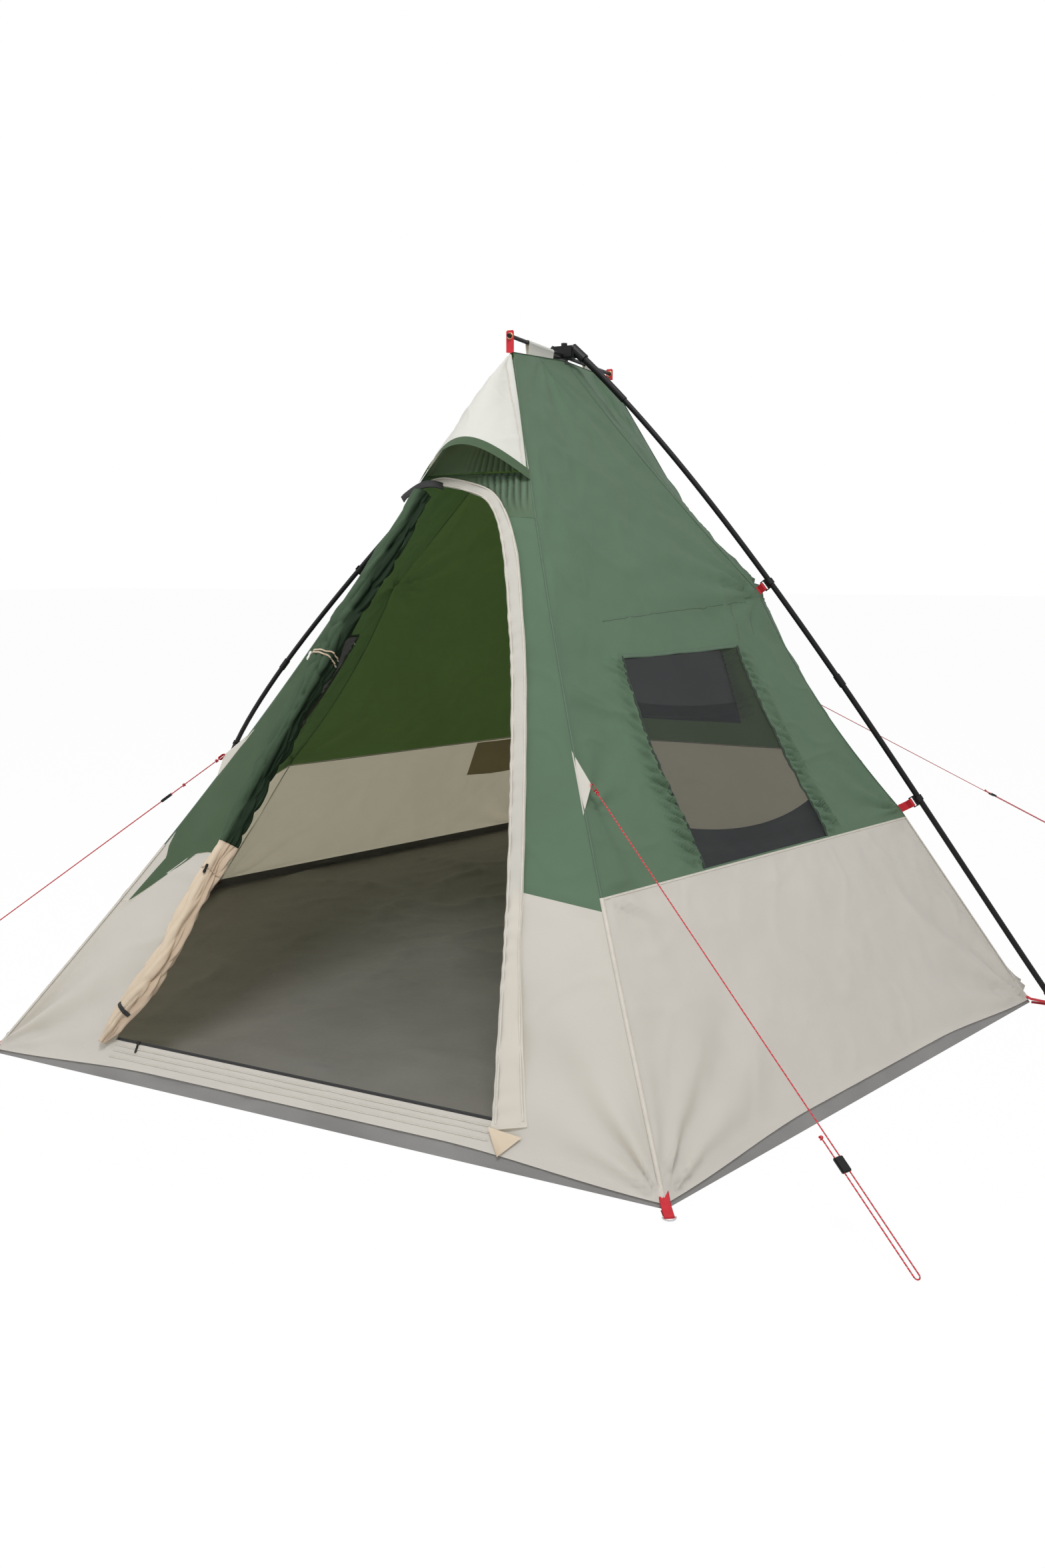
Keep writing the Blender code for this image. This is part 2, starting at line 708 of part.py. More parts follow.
def build_flap(finish):
    """The cream flap that covers the door's zip, from the sill round the crown."""
    grid = []
    out = GAP + CLOTH
    for p, n in arch_path(26):
        q = p + n * flap_width(p.y)
        grid.append([face_point(p.x, p.y, out), face_point((p.x + q.x) / 2, (p.y + q.y) / 2, out),
                     face_point(q.x, q.y, out)])
    sheet("door_flap", grid, finish["cream"])
    zip_low, zip_high = SILL_TOP + GAP, SILL_TOP + GAP + 0.005
    zip_grid = [[face_point(x, z) for x in (door_left(z) + 0.004, arch_x(z) - 0.001)]
                for z in (zip_low, zip_high)]
    sheet("door_zip", zip_grid, finish["black"])


def hood_point(across, up):
    """A point of the hood: across 0 to 1 along its rim, up 0 at the rim to 1 at the apex."""
    swell = math.sin(math.pi * across)
    left, right = -face_limit(HOOD_RIM_Z, -1), face_limit(HOOD_RIM_Z)
    rim_x = left + (right - left) * across
    rim = face_point(rim_x, HOOD_RIM_Z + HOOD_RIM_RISE * swell, HOOD_SEAT + HOOD_REACH * swell)
    apex = face_point(0.0, RIDGE_FRONT_Z - 0.004, HOOD_SEAT)
    puff = face_normal() * HOOD_PUFF * swell * math.sin(math.pi * max(up, 0.0))
    return rim.lerp(apex, up) + puff


def build_hood(finish):
    """The cream hood with its hem, and the vent panel behind it."""
    columns = 13
    drop = HOOD_HEM / (RIDGE_FRONT_Z - HOOD_RIM_Z)
    steps = [-drop, -drop / 2, 0.0] + [HOOD_TOP * i / 7 for i in range(1, 8)]
    grid = [[hood_point(j / (columns - 1), up) for j in range(columns)] for up in steps]
    sheet("hood", grid, finish["cream"])
    low, high = CROWN_Z + GAP, RIDGE_FRONT_Z - 0.030
    vent = []
    for i in range(6):
        z = low + (high - low) * i / 5
        vent.append([face_point(face_limit(z, 1 if j > 3 else -1) * (j / 3 - 1), z) for j in range(7)])
    sheet("hood_vent", vent, finish["dark"])


def roll_value(values, z):
    """Read one of the roll's listed values at a height."""
    for k in range(len(ROLL_HEIGHTS) - 1):
        low, high = ROLL_HEIGHTS[k], ROLL_HEIGHTS[k + 1]
        if z <= high or k == len(ROLL_HEIGHTS) - 2:
            t = min(max((z - low) / (high - low), 0.0), 1.0)
            t = t * t * (3 - 2 * t)
            return values[k] + (values[k + 1] - values[k]) * t


def roll_point(z, angle, grow=0.0, folds=True):
    """A point of the rolled door's skin, its section lying across the door's left side."""
    radius = roll_value(ROLL_RADII, z)
    depth = radius * ROLL_DEPTH
    lean = (DOOR_FOOT_LEFT - DOOR_HEAD_LEFT) / (DOOR_HEAD_Z - FLOOR_RISE)
    along = (face_point(lean, 1.0) - face_point(0.0, 0.0)).normalized()
    across = along.cross(face_normal()).normalized()
    centre = face_point(door_left(z) + roll_value(ROLL_SHIFTS, z), z, ROLL_STANDOFF + depth)
    deep = 0.0
    if folds:
        deep = 0.17 * (0.5 - 0.5 * math.cos(3 * angle + 9 * z))
        deep += 0.07 * (0.5 - 0.5 * math.cos(7 * angle - 15 * z))
    size = 1.0 - deep
    return (centre + across * (math.cos(angle) * (radius * size + grow))
            + face_normal() * (math.sin(angle) * (depth * size + grow)))


def roll_solid(low, high, rings):
    """Points and faces of a stretch of the roll, closed at both ends."""
    sides = ROLL_SIDES
    points, faces = [], []
    for i in range(rings):
        z = low + (high - low) * i / (rings - 1)
        points += [roll_point(z, 2 * math.pi * k / sides) for k in range(sides)]
    for i in range(rings - 1):
        for k in range(sides):
            a, m = i * sides, (k + 1) % sides
            faces.append((a + k, a + m, a + sides + m, a + sides + k))
    faces.append(tuple(range(sides)))
    faces.append(tuple(range((rings - 1) * sides, rings * sides)))
    return points, faces


def tie_band(z, width):
    """Points and faces of a band round the roll."""
    sides = ROLL_SIDES
    points, faces = [], []
    rings = ((z, GAP), (z + width, GAP), (z + width, GAP + WEBBING), (z, GAP + WEBBING))
    for height, grow in rings:
        points += [roll_point(height, 2 * math.pi * k / sides, grow, False) for k in range(sides)]
    for i in range(4):
        for k in range(sides):
            a, b, m = i * sides, ((i + 1) % 4) * sides, (k + 1) % sides
            faces.append((a + k, a + m, b + m, b + k))
    return points, faces


def build_roll(finish):
    """The door panel rolled up along its left side: cream below, green above, with its ties."""
    low, high = ROLL_HEIGHTS[0], ROLL_HEIGHTS[-1]
    cream = roll_solid(low, ROLL_SEAM_Z - GAP, 15)
    green = roll_solid(ROLL_SEAM_Z, high, 30)
    mesh_object("door_roll_cream", *cream, finish["cream"])
    mesh_object("door_roll_green", *green, finish["green"])
    for word, z, width in zip(("lower", "middle", "upper"), TIE_HEIGHTS, TIE_WIDTHS):
        band = mesh_object("door_tie_" + word, *tie_band(z, width), finish["black"])
        combine(band, "UNION", tie_tail(word, z, width))
        if word != "upper":
            combine(band, "UNION", toggle(word, z + width / 2))


def tie_tail(word, z, width):
    """The end of a tie that is sewn to the cloth beside the door and runs under the roll."""
    along = (face_point(0.0, 1.0) - face_point(0.0, 0.0)).normalized()
    place = basis(face_point(door_left(z), z), Vector((1.0, 0.0, 0.0)), along)
    under = roll_value(ROLL_SHIFTS, z)
    return block("tail_" + word, (-TIE_TAIL, 0.0, GAP), (under, width, TIE_TAIL_FRONT), place, None)


def toggle(word, z):
    """The small bar that closes a tie, lying across the front of the roll."""
    depth = roll_value(ROLL_RADII, z) * ROLL_DEPTH
    out = ROLL_STANDOFF + 2 * depth + GAP + WEBBING + TOGGLE_RADIUS - 0.0006
    x = door_left(z) + roll_value(ROLL_SHIFTS, z)
    half = Vector((TOGGLE_HALF, 0.0, 0.0))
    centre = face_point(x, z, out)
    return cylinder("toggle_" + word, TOGGLE_RADIUS, centre - half, centre + half, None, 12)


def pole_path(side, count):
    """Centre line of a bowed pole, from the hub to its foot; the left one also bulges and sways."""
    start, end = Vector((POLE_START[0], 0.0, POLE_START[1])), Vector((POLE_END[0], 0.0, POLE_END[1]))
    first = start + Vector((1.0, 0.0, POLE_START_SLOPE)).normalized() * POLE_START_PULL
    second = end - Vector((1.0, 0.0, POLE_END_SLOPE)).normalized() * POLE_END_PULL
    path = []
    for k in range(count):
        t = k / (count - 1)
        s = 1 - t
        point = s ** 3 * start + 3 * s * s * t * first + 3 * s * t * t * second + t ** 3 * end
        if side < 0:
            point.x += LEFT_BULGE * math.sin(math.pi * t * t) ** 2
            point.y -= LEFT_SWAY * math.sin(math.pi * t) ** 2
        path.append(Vector((side * point.x, point.y, point.z)))
    return path


def stations_between(path, first, last, radius, trim=0.0):
    """Stations along a share of a path, every fourth point, shortened by trim at the far end."""
    count = len(path) - 1
    a, b = round(first * count), round(last * count)
    picked = list(range(a, b - 1, 4)) + [b]
    made = []
    for k in picked:
        along = (path[min(k + 1, count)] - path[max(k - 1, 0)]).normalized()
        made.append((path[k].copy(), along, radius))
    end, along, _ = made[-1]
    made[-1] = (end - along * trim, along, radius)
    return made


def build_poles(finish):
    """Both poles: thick arm, upper section with its ferrule, and lower section with its foot."""
    for side, word in ((1, "right"), (-1, "left")):
        path = pole_path(side, 201)
        arm = stations_between(path, 0.0, ARM_SHARE, ARM_RADIUS, GAP)
        swept("pole_arm_" + word, arm, finish["pole"])
        upper = stations_between(path, ARM_SHARE, JOINT_SHARE, POLE_RADIUS, GAP)
        joint, along, _ = upper[-1]
        bore = POLE_RADIUS + FERRULE_CLEARANCE
        mouth = joint + along * FERRULE_HALF
        neck = joint - along * FERRULE_HALF
        upper[-1:] = [(neck, along, POLE_RADIUS), (neck, along, FERRULE_RADIUS),
                      (mouth, along, FERRULE_RADIUS), (mouth, along, bore), (joint, along, bore)]
        swept("pole_upper_" + word, upper, finish["pole"])
        build_lower_pole(word, path, finish)


def build_lower_pole(word, path, finish):
    """The lower section, with the moulded foot whose pin stands in the corner tab's eyelet."""
    lower = stations_between(path, JOINT_SHARE, FOOT_SHARE, POLE_RADIUS)
    tip, along, _ = lower[-1]
    end = path[-1]
    along = (end - tip).normalized()
    down = -UP
    lower += [(tip + along * 0.0002, along, FOOT_RADIUS), (end, along, FOOT_RADIUS),
              (end + down * 0.0085, down, FOOT_NECK), (end + down * 0.0110, down, FOOT_NECK * 0.8),
              (end + down * 0.0112, down, FOOT_PIN_RADIUS),
              (Vector((end.x, end.y, 0.0)), down, FOOT_PIN_RADIUS)]
    swept("pole_lower_" + word, lower, finish["pole"])


def build_hub(finish):
    """The moulded hub: a block with two arm sockets and a knob, bored for the ridge rod."""
    hub = block("hub", (-HUB_HALF_X, -HUB_HALF_Y, HUB_FOOT_Z), (HUB_HALF_X, HUB_HALF_Y, HUB_TOP_Z),
                Matrix.Identity(4), finish["black"], 0.006)
    sides = ((1, "right"), (-1, "left"))
    for side, word in sides:
        down = Vector((side, 0.0, POLE_START_SLOPE)).normalized()
        start = Vector((side * POLE_START[0], 0.0, POLE_START[1]))
        socket = cylinder("socket_" + word, SOCKET_RADIUS, start - down * SOCKET_BACK,
                          start + down * SOCKET_DEPTH)
        combine(hub, "UNION", socket)
    knob = cylinder("knob", HUB_KNOB_RADIUS, Vector((0.0, 0.0, HUB_TOP_Z - 0.004)),
                    Vector((0.0, 0.0, HUB_KNOB_TOP)))
    combine(hub, "UNION", knob)
    for side, word in sides:
        down = Vector((side, 0.0, POLE_START_SLOPE)).normalized()
        start = Vector((side * POLE_START[0], 0.0, POLE_START[1]))
        bore = cylinder("socket_bore_" + word, ARM_RADIUS + SOCKET_CLEARANCE, start - down * GAP,
                        start + down * (SOCKET_DEPTH + 0.032))
        combine(hub, "DIFFERENCE", bore)
    tab = block("hub_tab", (HUB_TAB_X, -HUB_TAB_WIDTH, HUB_FOOT_Z - HUB_TAB_DROP),
                (HUB_TAB_X + WEBBING, 0.0, HUB_FOOT_Z + 0.0020), Matrix.Identity(4), None)
    combine(hub, "UNION", tab)
    reach = Vector((0.0, HUB_HALF_Y + 0.02, 0.0))
    middle = Vector((0.0, 0.0, ROD_Z))
    combine(hub, "DIFFERENCE", cylinder("rod_bore", ROD_RADIUS + RUN_CLEARANCE, middle - reach,
                                        middle + reach))


def ribbon(path, across, width, thickness):
    """Points and faces of a strip of webbing: path is its centre line, across its width's direction."""
    points, faces = [], []
    half = across.normalized() * width / 2
    count = len(path)
    for k, place in enumerate(path):
        tangent = (path[min(k + 1, count - 1)] - path[max(k - 1, 0)]).normalized()
        normal = tangent.cross(half).normalized() * thickness / 2
        points += [place - half - normal, place + half - normal, place + half + normal,
                   place - half + normal]
    for k in range(count - 1):
        for n in range(4):
            m = (n + 1) % 4
            faces.append((4 * k + n, 4 * k + m, 4 * k + 4 + m, 4 * k + 4 + n))
    faces.append((0, 1, 2, 3))
    faces.append(tuple(4 * (count - 1) + n for n in range(4)))
    return points, faces


def clip_places():
    """For each pole clip: its name, pole centre, pole direction and the fabric point that it holds."""
    made = []
    for side, word in ((1, "right"), (-1, "left")):
        path = pole_path(side, 401)
        for height, tab in (("upper", TAB_UPPER), ("lower", TAB_LOWER)):
            hold = Vector((side * tab[0], 0.0, tab[1]))
            k = min(range(1, 400), key=lambda n: (path[n] - hold).length)
            made.append((word + "_" + height, path[k], (path[k + 1] - path[k - 1]).normalized(), hold))
    return made


def build_clips(finish):
    """Snap clips on the poles, with the webbing tabs that carry the fabric's side edges."""
    for name, centre, along, hold in clip_places():
        toward = hold - centre
        toward = (toward - along * toward.dot(along)).normalized()
        place = basis(centre, along, toward)
        lift = along.cross(toward).normalized()
        half = WEBBING_WIDTH / 2 + 0.0015
        rim = 0.003
        plate = block("clip_" + name, (-half - rim, POLE_RADIUS * 0.5, -CLIP_PLATE / 2),
                      (half + rim, CLIP_REACH, CLIP_PLATE / 2), place, finish["black"], 0.0009)
        outer = POLE_RADIUS + CLIP_WALL
        grip = cylinder("grip_" + name, outer, centre - along * CLIP_HALF_LENGTH,
                        centre + along * CLIP_HALF_LENGTH)
        bore = cylinder("grip_bore_" + name, POLE_RADIUS + 1.5 * RUN_CLEARANCE, centre - along * 0.04,
                        centre + along * 0.04, None, 32)
        slot = block("slot_" + name, (-half, SLOT_NEAR, -0.01), (half, SLOT_FAR, 0.01), place, None)
        mouth = block("mouth_" + name, (-0.04, -0.03, -0.0058), (0.04, 0.0, 0.0058), place, None)
        combine(plate, "UNION", grip)
        combine(plate, "DIFFERENCE", bore)
        combine(plate, "DIFFERENCE", slot)
        combine(plate, "DIFFERENCE", mouth)
        bar = centre + toward * (SLOT_FAR + CLIP_REACH) / 2
        start = hold - toward * 0.0006
        path = webbing_eye(start, bar, -toward, lift)
        mesh_object("pole_tab_" + name, *ribbon(path, along, WEBBING_WIDTH, WEBBING), finish["red"])


def webbing_eye(start, bar, toward, lift):
    """A strip from the fabric to an open eye round a clip's bar, and back onto itself."""
    inside = LOOP_HALF_HEIGHT
    neck = bar - toward * LOOP_NECK
    path = [start]
    gap = (neck - start).length
    path.append(start.lerp(neck, min(1.0, (gap - 0.004) / gap)))
    steps = 12
    reach = (CLIP_REACH - SLOT_FAR) / 2 + LOOP_SLACK
    for k in range(steps + 1):
        angle = math.pi * k / steps
        rise = math.copysign(abs(math.cos(angle)) ** 0.5, math.cos(angle)) * inside
        path.append(bar - lift * rise + toward * (reach * abs(math.sin(angle)) ** 0.5))
    path.append(neck + lift * (WEBBING + 2 * GAP))
    return path


def ring_path(bar, across, toward):
    """A D-shaped ring: a straight bar and a round bow, turned towards its free side."""
    path = []
    for k in range(13):
        angle = math.pi * k / 12
        path.append(bar + across * (RING_RADIUS * math.cos(angle)) + toward * (RING_RADIUS * math.sin(angle)))
    for k in range(1, 5):
        path.append(bar + across * (RING_RADIUS * (-1 + 2 * k / 5)))
    return path


def build_corners(groundsheet, finish):
    """Webbing tabs sewn to the floor's corners: a ring at four, and an eyelet for each pole's pin."""
    names = ("front_left", "front_right", "side_right", "back_right", "back_left", "side_left")
    for name, corner in zip(names, floor_ring(0.0)):
        toward = Vector((corner.x, corner.y, 0.0)).normalized()
        if name.startswith("side"):
            eyelet_corner(groundsheet, name, corner, toward)
            continue
        bar = corner + toward * CORNER_TAB + UP * RING_Z
        across = toward.cross(UP)
        radius = RING_WIRE + GAP + WEBBING / 2
        start = corner - toward * 0.004 + UP * (WEBBING / 2 + 0.0003)
        path = [start, bar - toward * 0.006 - UP * radius, bar - UP * radius]
        for k in range(1, 7):
            angle = math.pi * k / 7
            path.append(bar - UP * (radius * math.cos(angle)) + toward * (radius * math.sin(angle)))
        path.append(bar + UP * radius)
        path.append(bar - toward * 0.012 - UP * (radius - WEBBING - 2 * GAP))
        tab = mesh_object("corner_tab_" + name, *ribbon(path, across, TAB_WIDTH, WEBBING), None)
        combine(groundsheet, "UNION", tab)
        curve_rod("peg_ring_" + name, ring_path(bar, across, toward), RING_WIRE, finish["steel"], True, 2)


def eyelet_corner(groundsheet, name, corner, toward):
    """A side corner's tab, with the eyelet that the pole foot's pin stands in."""
    pin = Vector((toward.x * POLE_END[0], 0.0, 0.0))
    place = basis(corner, toward, UP.cross(toward))
    reach = POLE_END[0] - SIDE_REACH
    tab = block("corner_tab_" + name, (-0.005, -TAB_WIDTH / 2, 0.0003),
                (reach + 0.012, TAB_WIDTH / 2, 0.0003 + WEBBING), place, None)
    combine(groundsheet, "UNION", tab)
    hole = cylinder("eyelet_" + name, FOOT_PIN_RADIUS + 0.0010, pin - UP * 0.01, pin + UP * 0.01)
    combine(groundsheet, "DIFFERENCE", hole)


def build_ridge(finish):
    """The ridge rod with its end tabs, grommets and sleeves, and the tape over the ridge seam."""
    rod = cylinder("ridge_rod", ROD_RADIUS, Vector((0.0, -ROD_HALF, ROD_Z)), Vector((0.0, ROD_HALF, ROD_Z)),
                   finish["pole"], 16)
    rod.data.shade_smooth()
    stations = (-RIDGE_HALF - 0.012, -RIDGE_HALF, 0.0, RIDGE_HALF, RIDGE_HALF + 0.012)
    line = [Vector((0.0, y, ridge_top(max(-RIDGE_HALF, min(RIDGE_HALF, y))) - 0.0006)) for y in stations]
    tape = mesh_object("ridge_tape", *ribbon(line, Vector((1.0, 0.0, 0.0)), TAPE_WIDTH, WEBBING),
                       finish["green"], smooth=False)
    for number, (start, end) in enumerate(SLEEVES):
        sleeve = mesh_object("rod_sleeve_" + str(number), *rod_sleeve(start, end), None)
        combine(tape, "UNION", sleeve)
    for end, word in ((-1, "front"), (1, "back")):
        y = end * (RIDGE_HALF + 0.012 + GAP + WEBBING / 2)
        place = basis(Vector((0.0, y, ROD_Z)), Vector((0.0, 1.0, 0.0)), UP)
        foot = ridge_top(end * RIDGE_HALF) - ROD_Z - 0.004
        eyelet = ROD_RADIUS + RUN_CLEARANCE
        tab = mesh_object("ridge_tab_" + word, *eyelet_tab(place, foot, END_TAB_HEAD, eyelet), finish["red"],
                          smooth=False)
        half = Vector((0.0, GROMMET_HALF, 0.0))
        middle = Vector((0.0, y, ROD_Z))
        combine(tab, "UNION", cylinder("grommet_" + word, GROMMET_RADIUS, middle - half, middle + half))
        combine(tab, "DIFFERENCE", cylinder("eyelet_" + word, eyelet, middle - half * 3, middle + half * 3))


def eyelet_tab(place, foot, head, hole):
    """Points and faces of a webbing plate with a round hole; place has X through it and Y up."""
    sides = 24
    half = WEBBING_WIDTH / 2
    points, faces = [], []
    for x in (-WEBBING / 2, WEBBING / 2):
        for k in range(sides):
            angle = 2 * math.pi * k / sides
            c, s = math.cos(angle), math.sin(angle)
            points.append(place @ Vector((x, hole * c, hole * s)))
            high, low = head / max(c, 1e-9) if c > 0 else 1e9, foot / min(c, -1e-9) if c < 0 else 1e9
            reach = min(high, low, half / max(abs(s), 1e-9))
            points.append(place @ Vector((x, reach * c, reach * s)))
    back = 2 * sides
    for k in range(sides):
        a, b = 2 * k, 2 * ((k + 1) % sides)
        faces.append((a, a + 1, b + 1, b))
        faces.append((back + a, back + b, back + b + 1, back + a + 1))
        faces.append((a, b, back + b, back + a))
        faces.append((a + 1, back + a + 1, back + b + 1, b + 1))
    return points, faces


def rod_sleeve(start, end):
    """Points and faces of a cloth sleeve over the ridge rod, sewn to the ridge tape."""
    outer = ROD_RADIUS + RUN_CLEARANCE + WEBBING
    grid = []
    for k in range(4):
        y = start + (end - start) * k / 3
        foot = ridge_top(y) - WEBBING / 2
        line = [Vector((-0.0045, y, foot))]
        for n in range(11):
            angle = math.radians(-125) + math.radians(250) * n / 10
            line.append(Vector((outer * math.sin(angle), y, ROD_Z + outer * math.cos(angle))))
        line.append(Vector((0.0045, y, foot)))
        grid.append(line)
    return sheet_parts(grid, WEBBING, Vector((0.0, (start + end) / 2, ROD_Z)))


def patch_tip(side, end):
    """The outer tip of a guy patch: on the front or back face's plane, beyond the corner edge."""
    return corner_edge(side, end)[0](PATCH_TIP_Z) + Vector((side * PATCH_REACH, 0.0, 0.0))


def build_patches():
    """Cream triangles sewn to the corner edges, each with a loop for its guy-line."""
    carriers = {(1, -1): "wall_front_arch", (-1, -1): "wall_front_left", (1, 1): "wall_back",
                (-1, 1): "wall_back"}
    for (side, end), carrier in carriers.items():
        place, top = corner_edge(side, end)
        lean = (FACE_REACH - RIDGE_HALF) / top
        outward = Vector((0.0, end, lean)).normalized()
        inset = Vector((side * (CORNER_INSET + PATCH_LAP), 0.0, 0.0))
        tip = patch_tip(side, end)
        slant = (place(PATCH_TIP_Z + 0.006) - place(PATCH_TIP_Z - 0.006))
        outline = [place(PATCH_TOP_Z) - inset, tip + slant / 2, tip - slant / 2,
                   place(PATCH_FOOT_Z) - inset]
        front = [point + outward * PATCH_PROUD for point in outline]
        rear = [point - outward * PATCH_SUNK for point in outline]
        faces = [(0, 1, 2, 3), (7, 6, 5, 4)]
        faces += [(k, 4 + k, 4 + (k + 1) % 4, (k + 1) % 4) for k in range(4)]
        name = "_%s_%s" % ("front" if end < 0 else "back", "right" if side > 0 else "left")
        wall = bpy.data.objects[carrier]
        patch = mesh_object("guy_patch" + name, front + rear, faces, None, smooth=False)
        combine(wall, "UNION", patch)
        loop = guy_loop(tip, guy_direction(side, end), outward)
        combine(wall, "UNION", mesh_object("guy_loop" + name, *loop, None, smooth=False))


def guy_direction(side, end):
    """Which way a guy-line leaves its patch."""
    peg = FRONT_PEG if end < 0 else BACK_PEG
    return (Vector((side * peg[0], peg[1], 0.0)) - patch_tip(side, end)).normalized()


def guy_loop(tip, along, outward):
    """Points and faces of a small webbing loop at a patch's tip."""
    across = along.cross(outward).normalized()
    start = tip - along * 0.003
    half, reach = LOOP_HALF, LOOP_REACH
    path = [start - across * 0.0012, start - across * half + along * 0.006]
    for k in range(9):
        angle = math.pi * k / 8
        path.append(start + along * (reach - half + half * math.sin(angle)) - across * (half * math.cos(angle)))
    path.append(start + across * half + along * 0.006)
    path.append(start + across * 0.0012)
    return ribbon(path, across.cross(along), 0.0080, WEBBING)


def guy_places():
    """For each guy-line: its name, upper end, peg end, and the side direction of its doubled part."""
    made = []
    for name, side, end in (("front_right", 1, -1), ("front_left", -1, -1), ("back_right", 1, 1)):
        peg = FRONT_PEG if end < 0 else BACK_PEG
        tip = patch_tip(side, end)
        along = guy_direction(side, end)
        start = tip + along * (LOOP_REACH - 0.003 + WEBBING / 2 + GAP)
        foot = Vector((side * peg[0], peg[1], CORD_RADIUS * 1.4))
        across = (foot - start).cross(UP).normalized() * side
        made.append((name, start, foot, across))
    return made


def guy_path(start, foot, across, share):
    """Centre line of a guy-line: down to the peg end, round it and back up to the tensioner's tail."""
    along = (foot - start).normalized()
    length = (foot - start).length
    radius = STRAND_GAP / 2
    path = [start + along * (length - radius) * k / 30 for k in range(31)]
    centre = start + along * (length - radius) + across * radius
    for k in range(1, 9):
        angle = math.pi * k / 8
        path.append(centre - across * (radius * math.cos(angle)) + along * (radius * math.sin(angle)))
    back = length * (1 - share) + CORD_TAIL
    first = start + along * (length - radius) + across * STRAND_GAP
    path += [first - along * (back - radius) * k / 24 for k in range(1, 25)]
    return path


def build_guys(finish):
    """Three guy-lines with the tensioner that joins each line's two strands."""
    for name, start, foot, across in guy_places():
        along = (foot - start).normalized()
        share = TENSIONER_SHARES[name]
        curve_rod("guy_line_" + name, guy_path(start, foot, across, share), CORD_RADIUS, finish["rope"],
                  resolution=2)
        centre = start + along * ((foot - start).length * share) + across * STRAND_GAP / 2
        place = basis(centre, along, across)
        half = (TENSIONER_LENGTH / 2, TENSIONER_WIDTH / 2, TENSIONER_DEPTH / 2)
        body = block("tensioner_" + name, [-h for h in half], half, place, finish["black"], 0.0018)
        for shift, word in ((-STRAND_GAP / 2, "near"), (STRAND_GAP / 2, "far")):
            middle = centre + across * shift
            bore = cylinder("bore_" + word + "_" + name, TENSIONER_BORE, middle - along * 0.03,
                            middle + along * 0.03, None, 16)
            combine(body, "DIFFERENCE", bore)


def build_small_parts(finish):
    """The wall pocket and the sill zip's slider."""
    wall = walls()["left_back"]
    grid = []
    for i in range(4):
        z = POCKET_FOOT_Z + (SEAM_HEIGHT - 0.006 - POCKET_FOOT_Z) * i / 3
        grid.append([wall_point(wall, POCKET_START + POCKET_SHARE * j / 5, z) for j in range(6)])
    normals = grid_normals(grid, CENTRE)
    grid = [[p + n * (CLOTH + 0.0006) for p, n in zip(*pair)] for pair in zip(grid, normals)]

    def bulk(i, j):
        return 0.003 + 0.010 * math.sin(math.pi * j / 5) * (1 - i / 4)
    sheet("wall_pocket", grid, finish["brown"], thickness=bulk)
    z = SILL_TOP + 0.003
    place = basis(face_point(door_left(z) + 0.075, z, GAP), Vector((1.0, 0.0, 0.0)), face_normal())
    slider = block("zip_slider", (-0.006, 0.0, -0.004), (0.006, 0.004, 0.004), place, finish["black"], 0.0008)
    pull = block("zip_pull", (-0.003, 0.0015, 0.003), (0.003, 0.0032, 0.026), place, None, 0.0006)
    combine(slider, "UNION", pull)


def main():
    for old in list(bpy.data.objects):
        bpy.data.objects.remove(old, do_unlink=True)
    finish = palette()
    groundsheet = build_groundsheet(finish)
    build_walls(finish)
    build_front(finish)
    build_roll(finish)
    build_hub(finish)
    build_poles(finish)
    build_ridge(finish)
    build_clips(finish)
    build_corners(groundsheet, finish)
    build_patches()
    build_guys(finish)
    build_small_parts(finish)


main()
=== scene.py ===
"""Looks of a six-sided camping tent: cloth, webbing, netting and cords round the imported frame.

Metres, +Z up. X runs along the door face, the door looks towards -Y, the ridge runs along Y.
"""
import math

import bpy
import numpy as np
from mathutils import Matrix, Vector, noise
from mathutils.bvhtree import BVHTree


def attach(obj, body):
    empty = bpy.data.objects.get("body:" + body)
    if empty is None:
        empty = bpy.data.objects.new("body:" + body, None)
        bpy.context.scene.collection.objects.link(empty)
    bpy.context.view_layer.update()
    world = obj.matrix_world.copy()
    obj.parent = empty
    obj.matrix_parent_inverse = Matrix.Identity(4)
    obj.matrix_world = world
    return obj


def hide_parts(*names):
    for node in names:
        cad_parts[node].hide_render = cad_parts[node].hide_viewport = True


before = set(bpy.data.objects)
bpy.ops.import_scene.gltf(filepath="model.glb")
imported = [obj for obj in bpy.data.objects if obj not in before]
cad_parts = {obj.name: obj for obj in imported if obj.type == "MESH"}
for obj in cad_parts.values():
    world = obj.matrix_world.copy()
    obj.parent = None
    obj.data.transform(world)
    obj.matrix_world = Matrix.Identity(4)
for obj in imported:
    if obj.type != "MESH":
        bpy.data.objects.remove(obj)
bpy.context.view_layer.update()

# Fabric, as in the part's source
FACE_HALF_WIDTH = 0.952
FACE_REACH = 1.624
SIDE_REACH = 1.540
RIDGE_HALF = 0.386
RIDGE_FRONT_Z = 1.918
RIDGE_MID_Z = 1.948
RIDGE_REAR_Z = 1.945
RIDGE_SLIT = 0.004
SEAM_HEIGHT = 0.534
FLOOR_RISE = 0.035
EDGE_HOLLOW = 0.028
LEFT_HOLLOW = 0.043
LEFT_HOLLOW_TOP = 1.600
TAB_UPPER = (0.669, 1.212)
TAB_LOWER = (1.133, 0.557)
SAG_ABOVE = 0.017
SAG_BETWEEN = 0.038
ROD_Z = 1.963
SLEEVES = ((-0.280, -0.096), (0.166, 0.286))
SLEEVE_RADIUS = 0.0078
SLEEVE_FOOT = 0.0036
GROMMET_RADIUS = 0.0082
CENTRE = np.array((0.0, 0.0, 0.6))
UP = np.array((0.0, 0.0, 1.0))
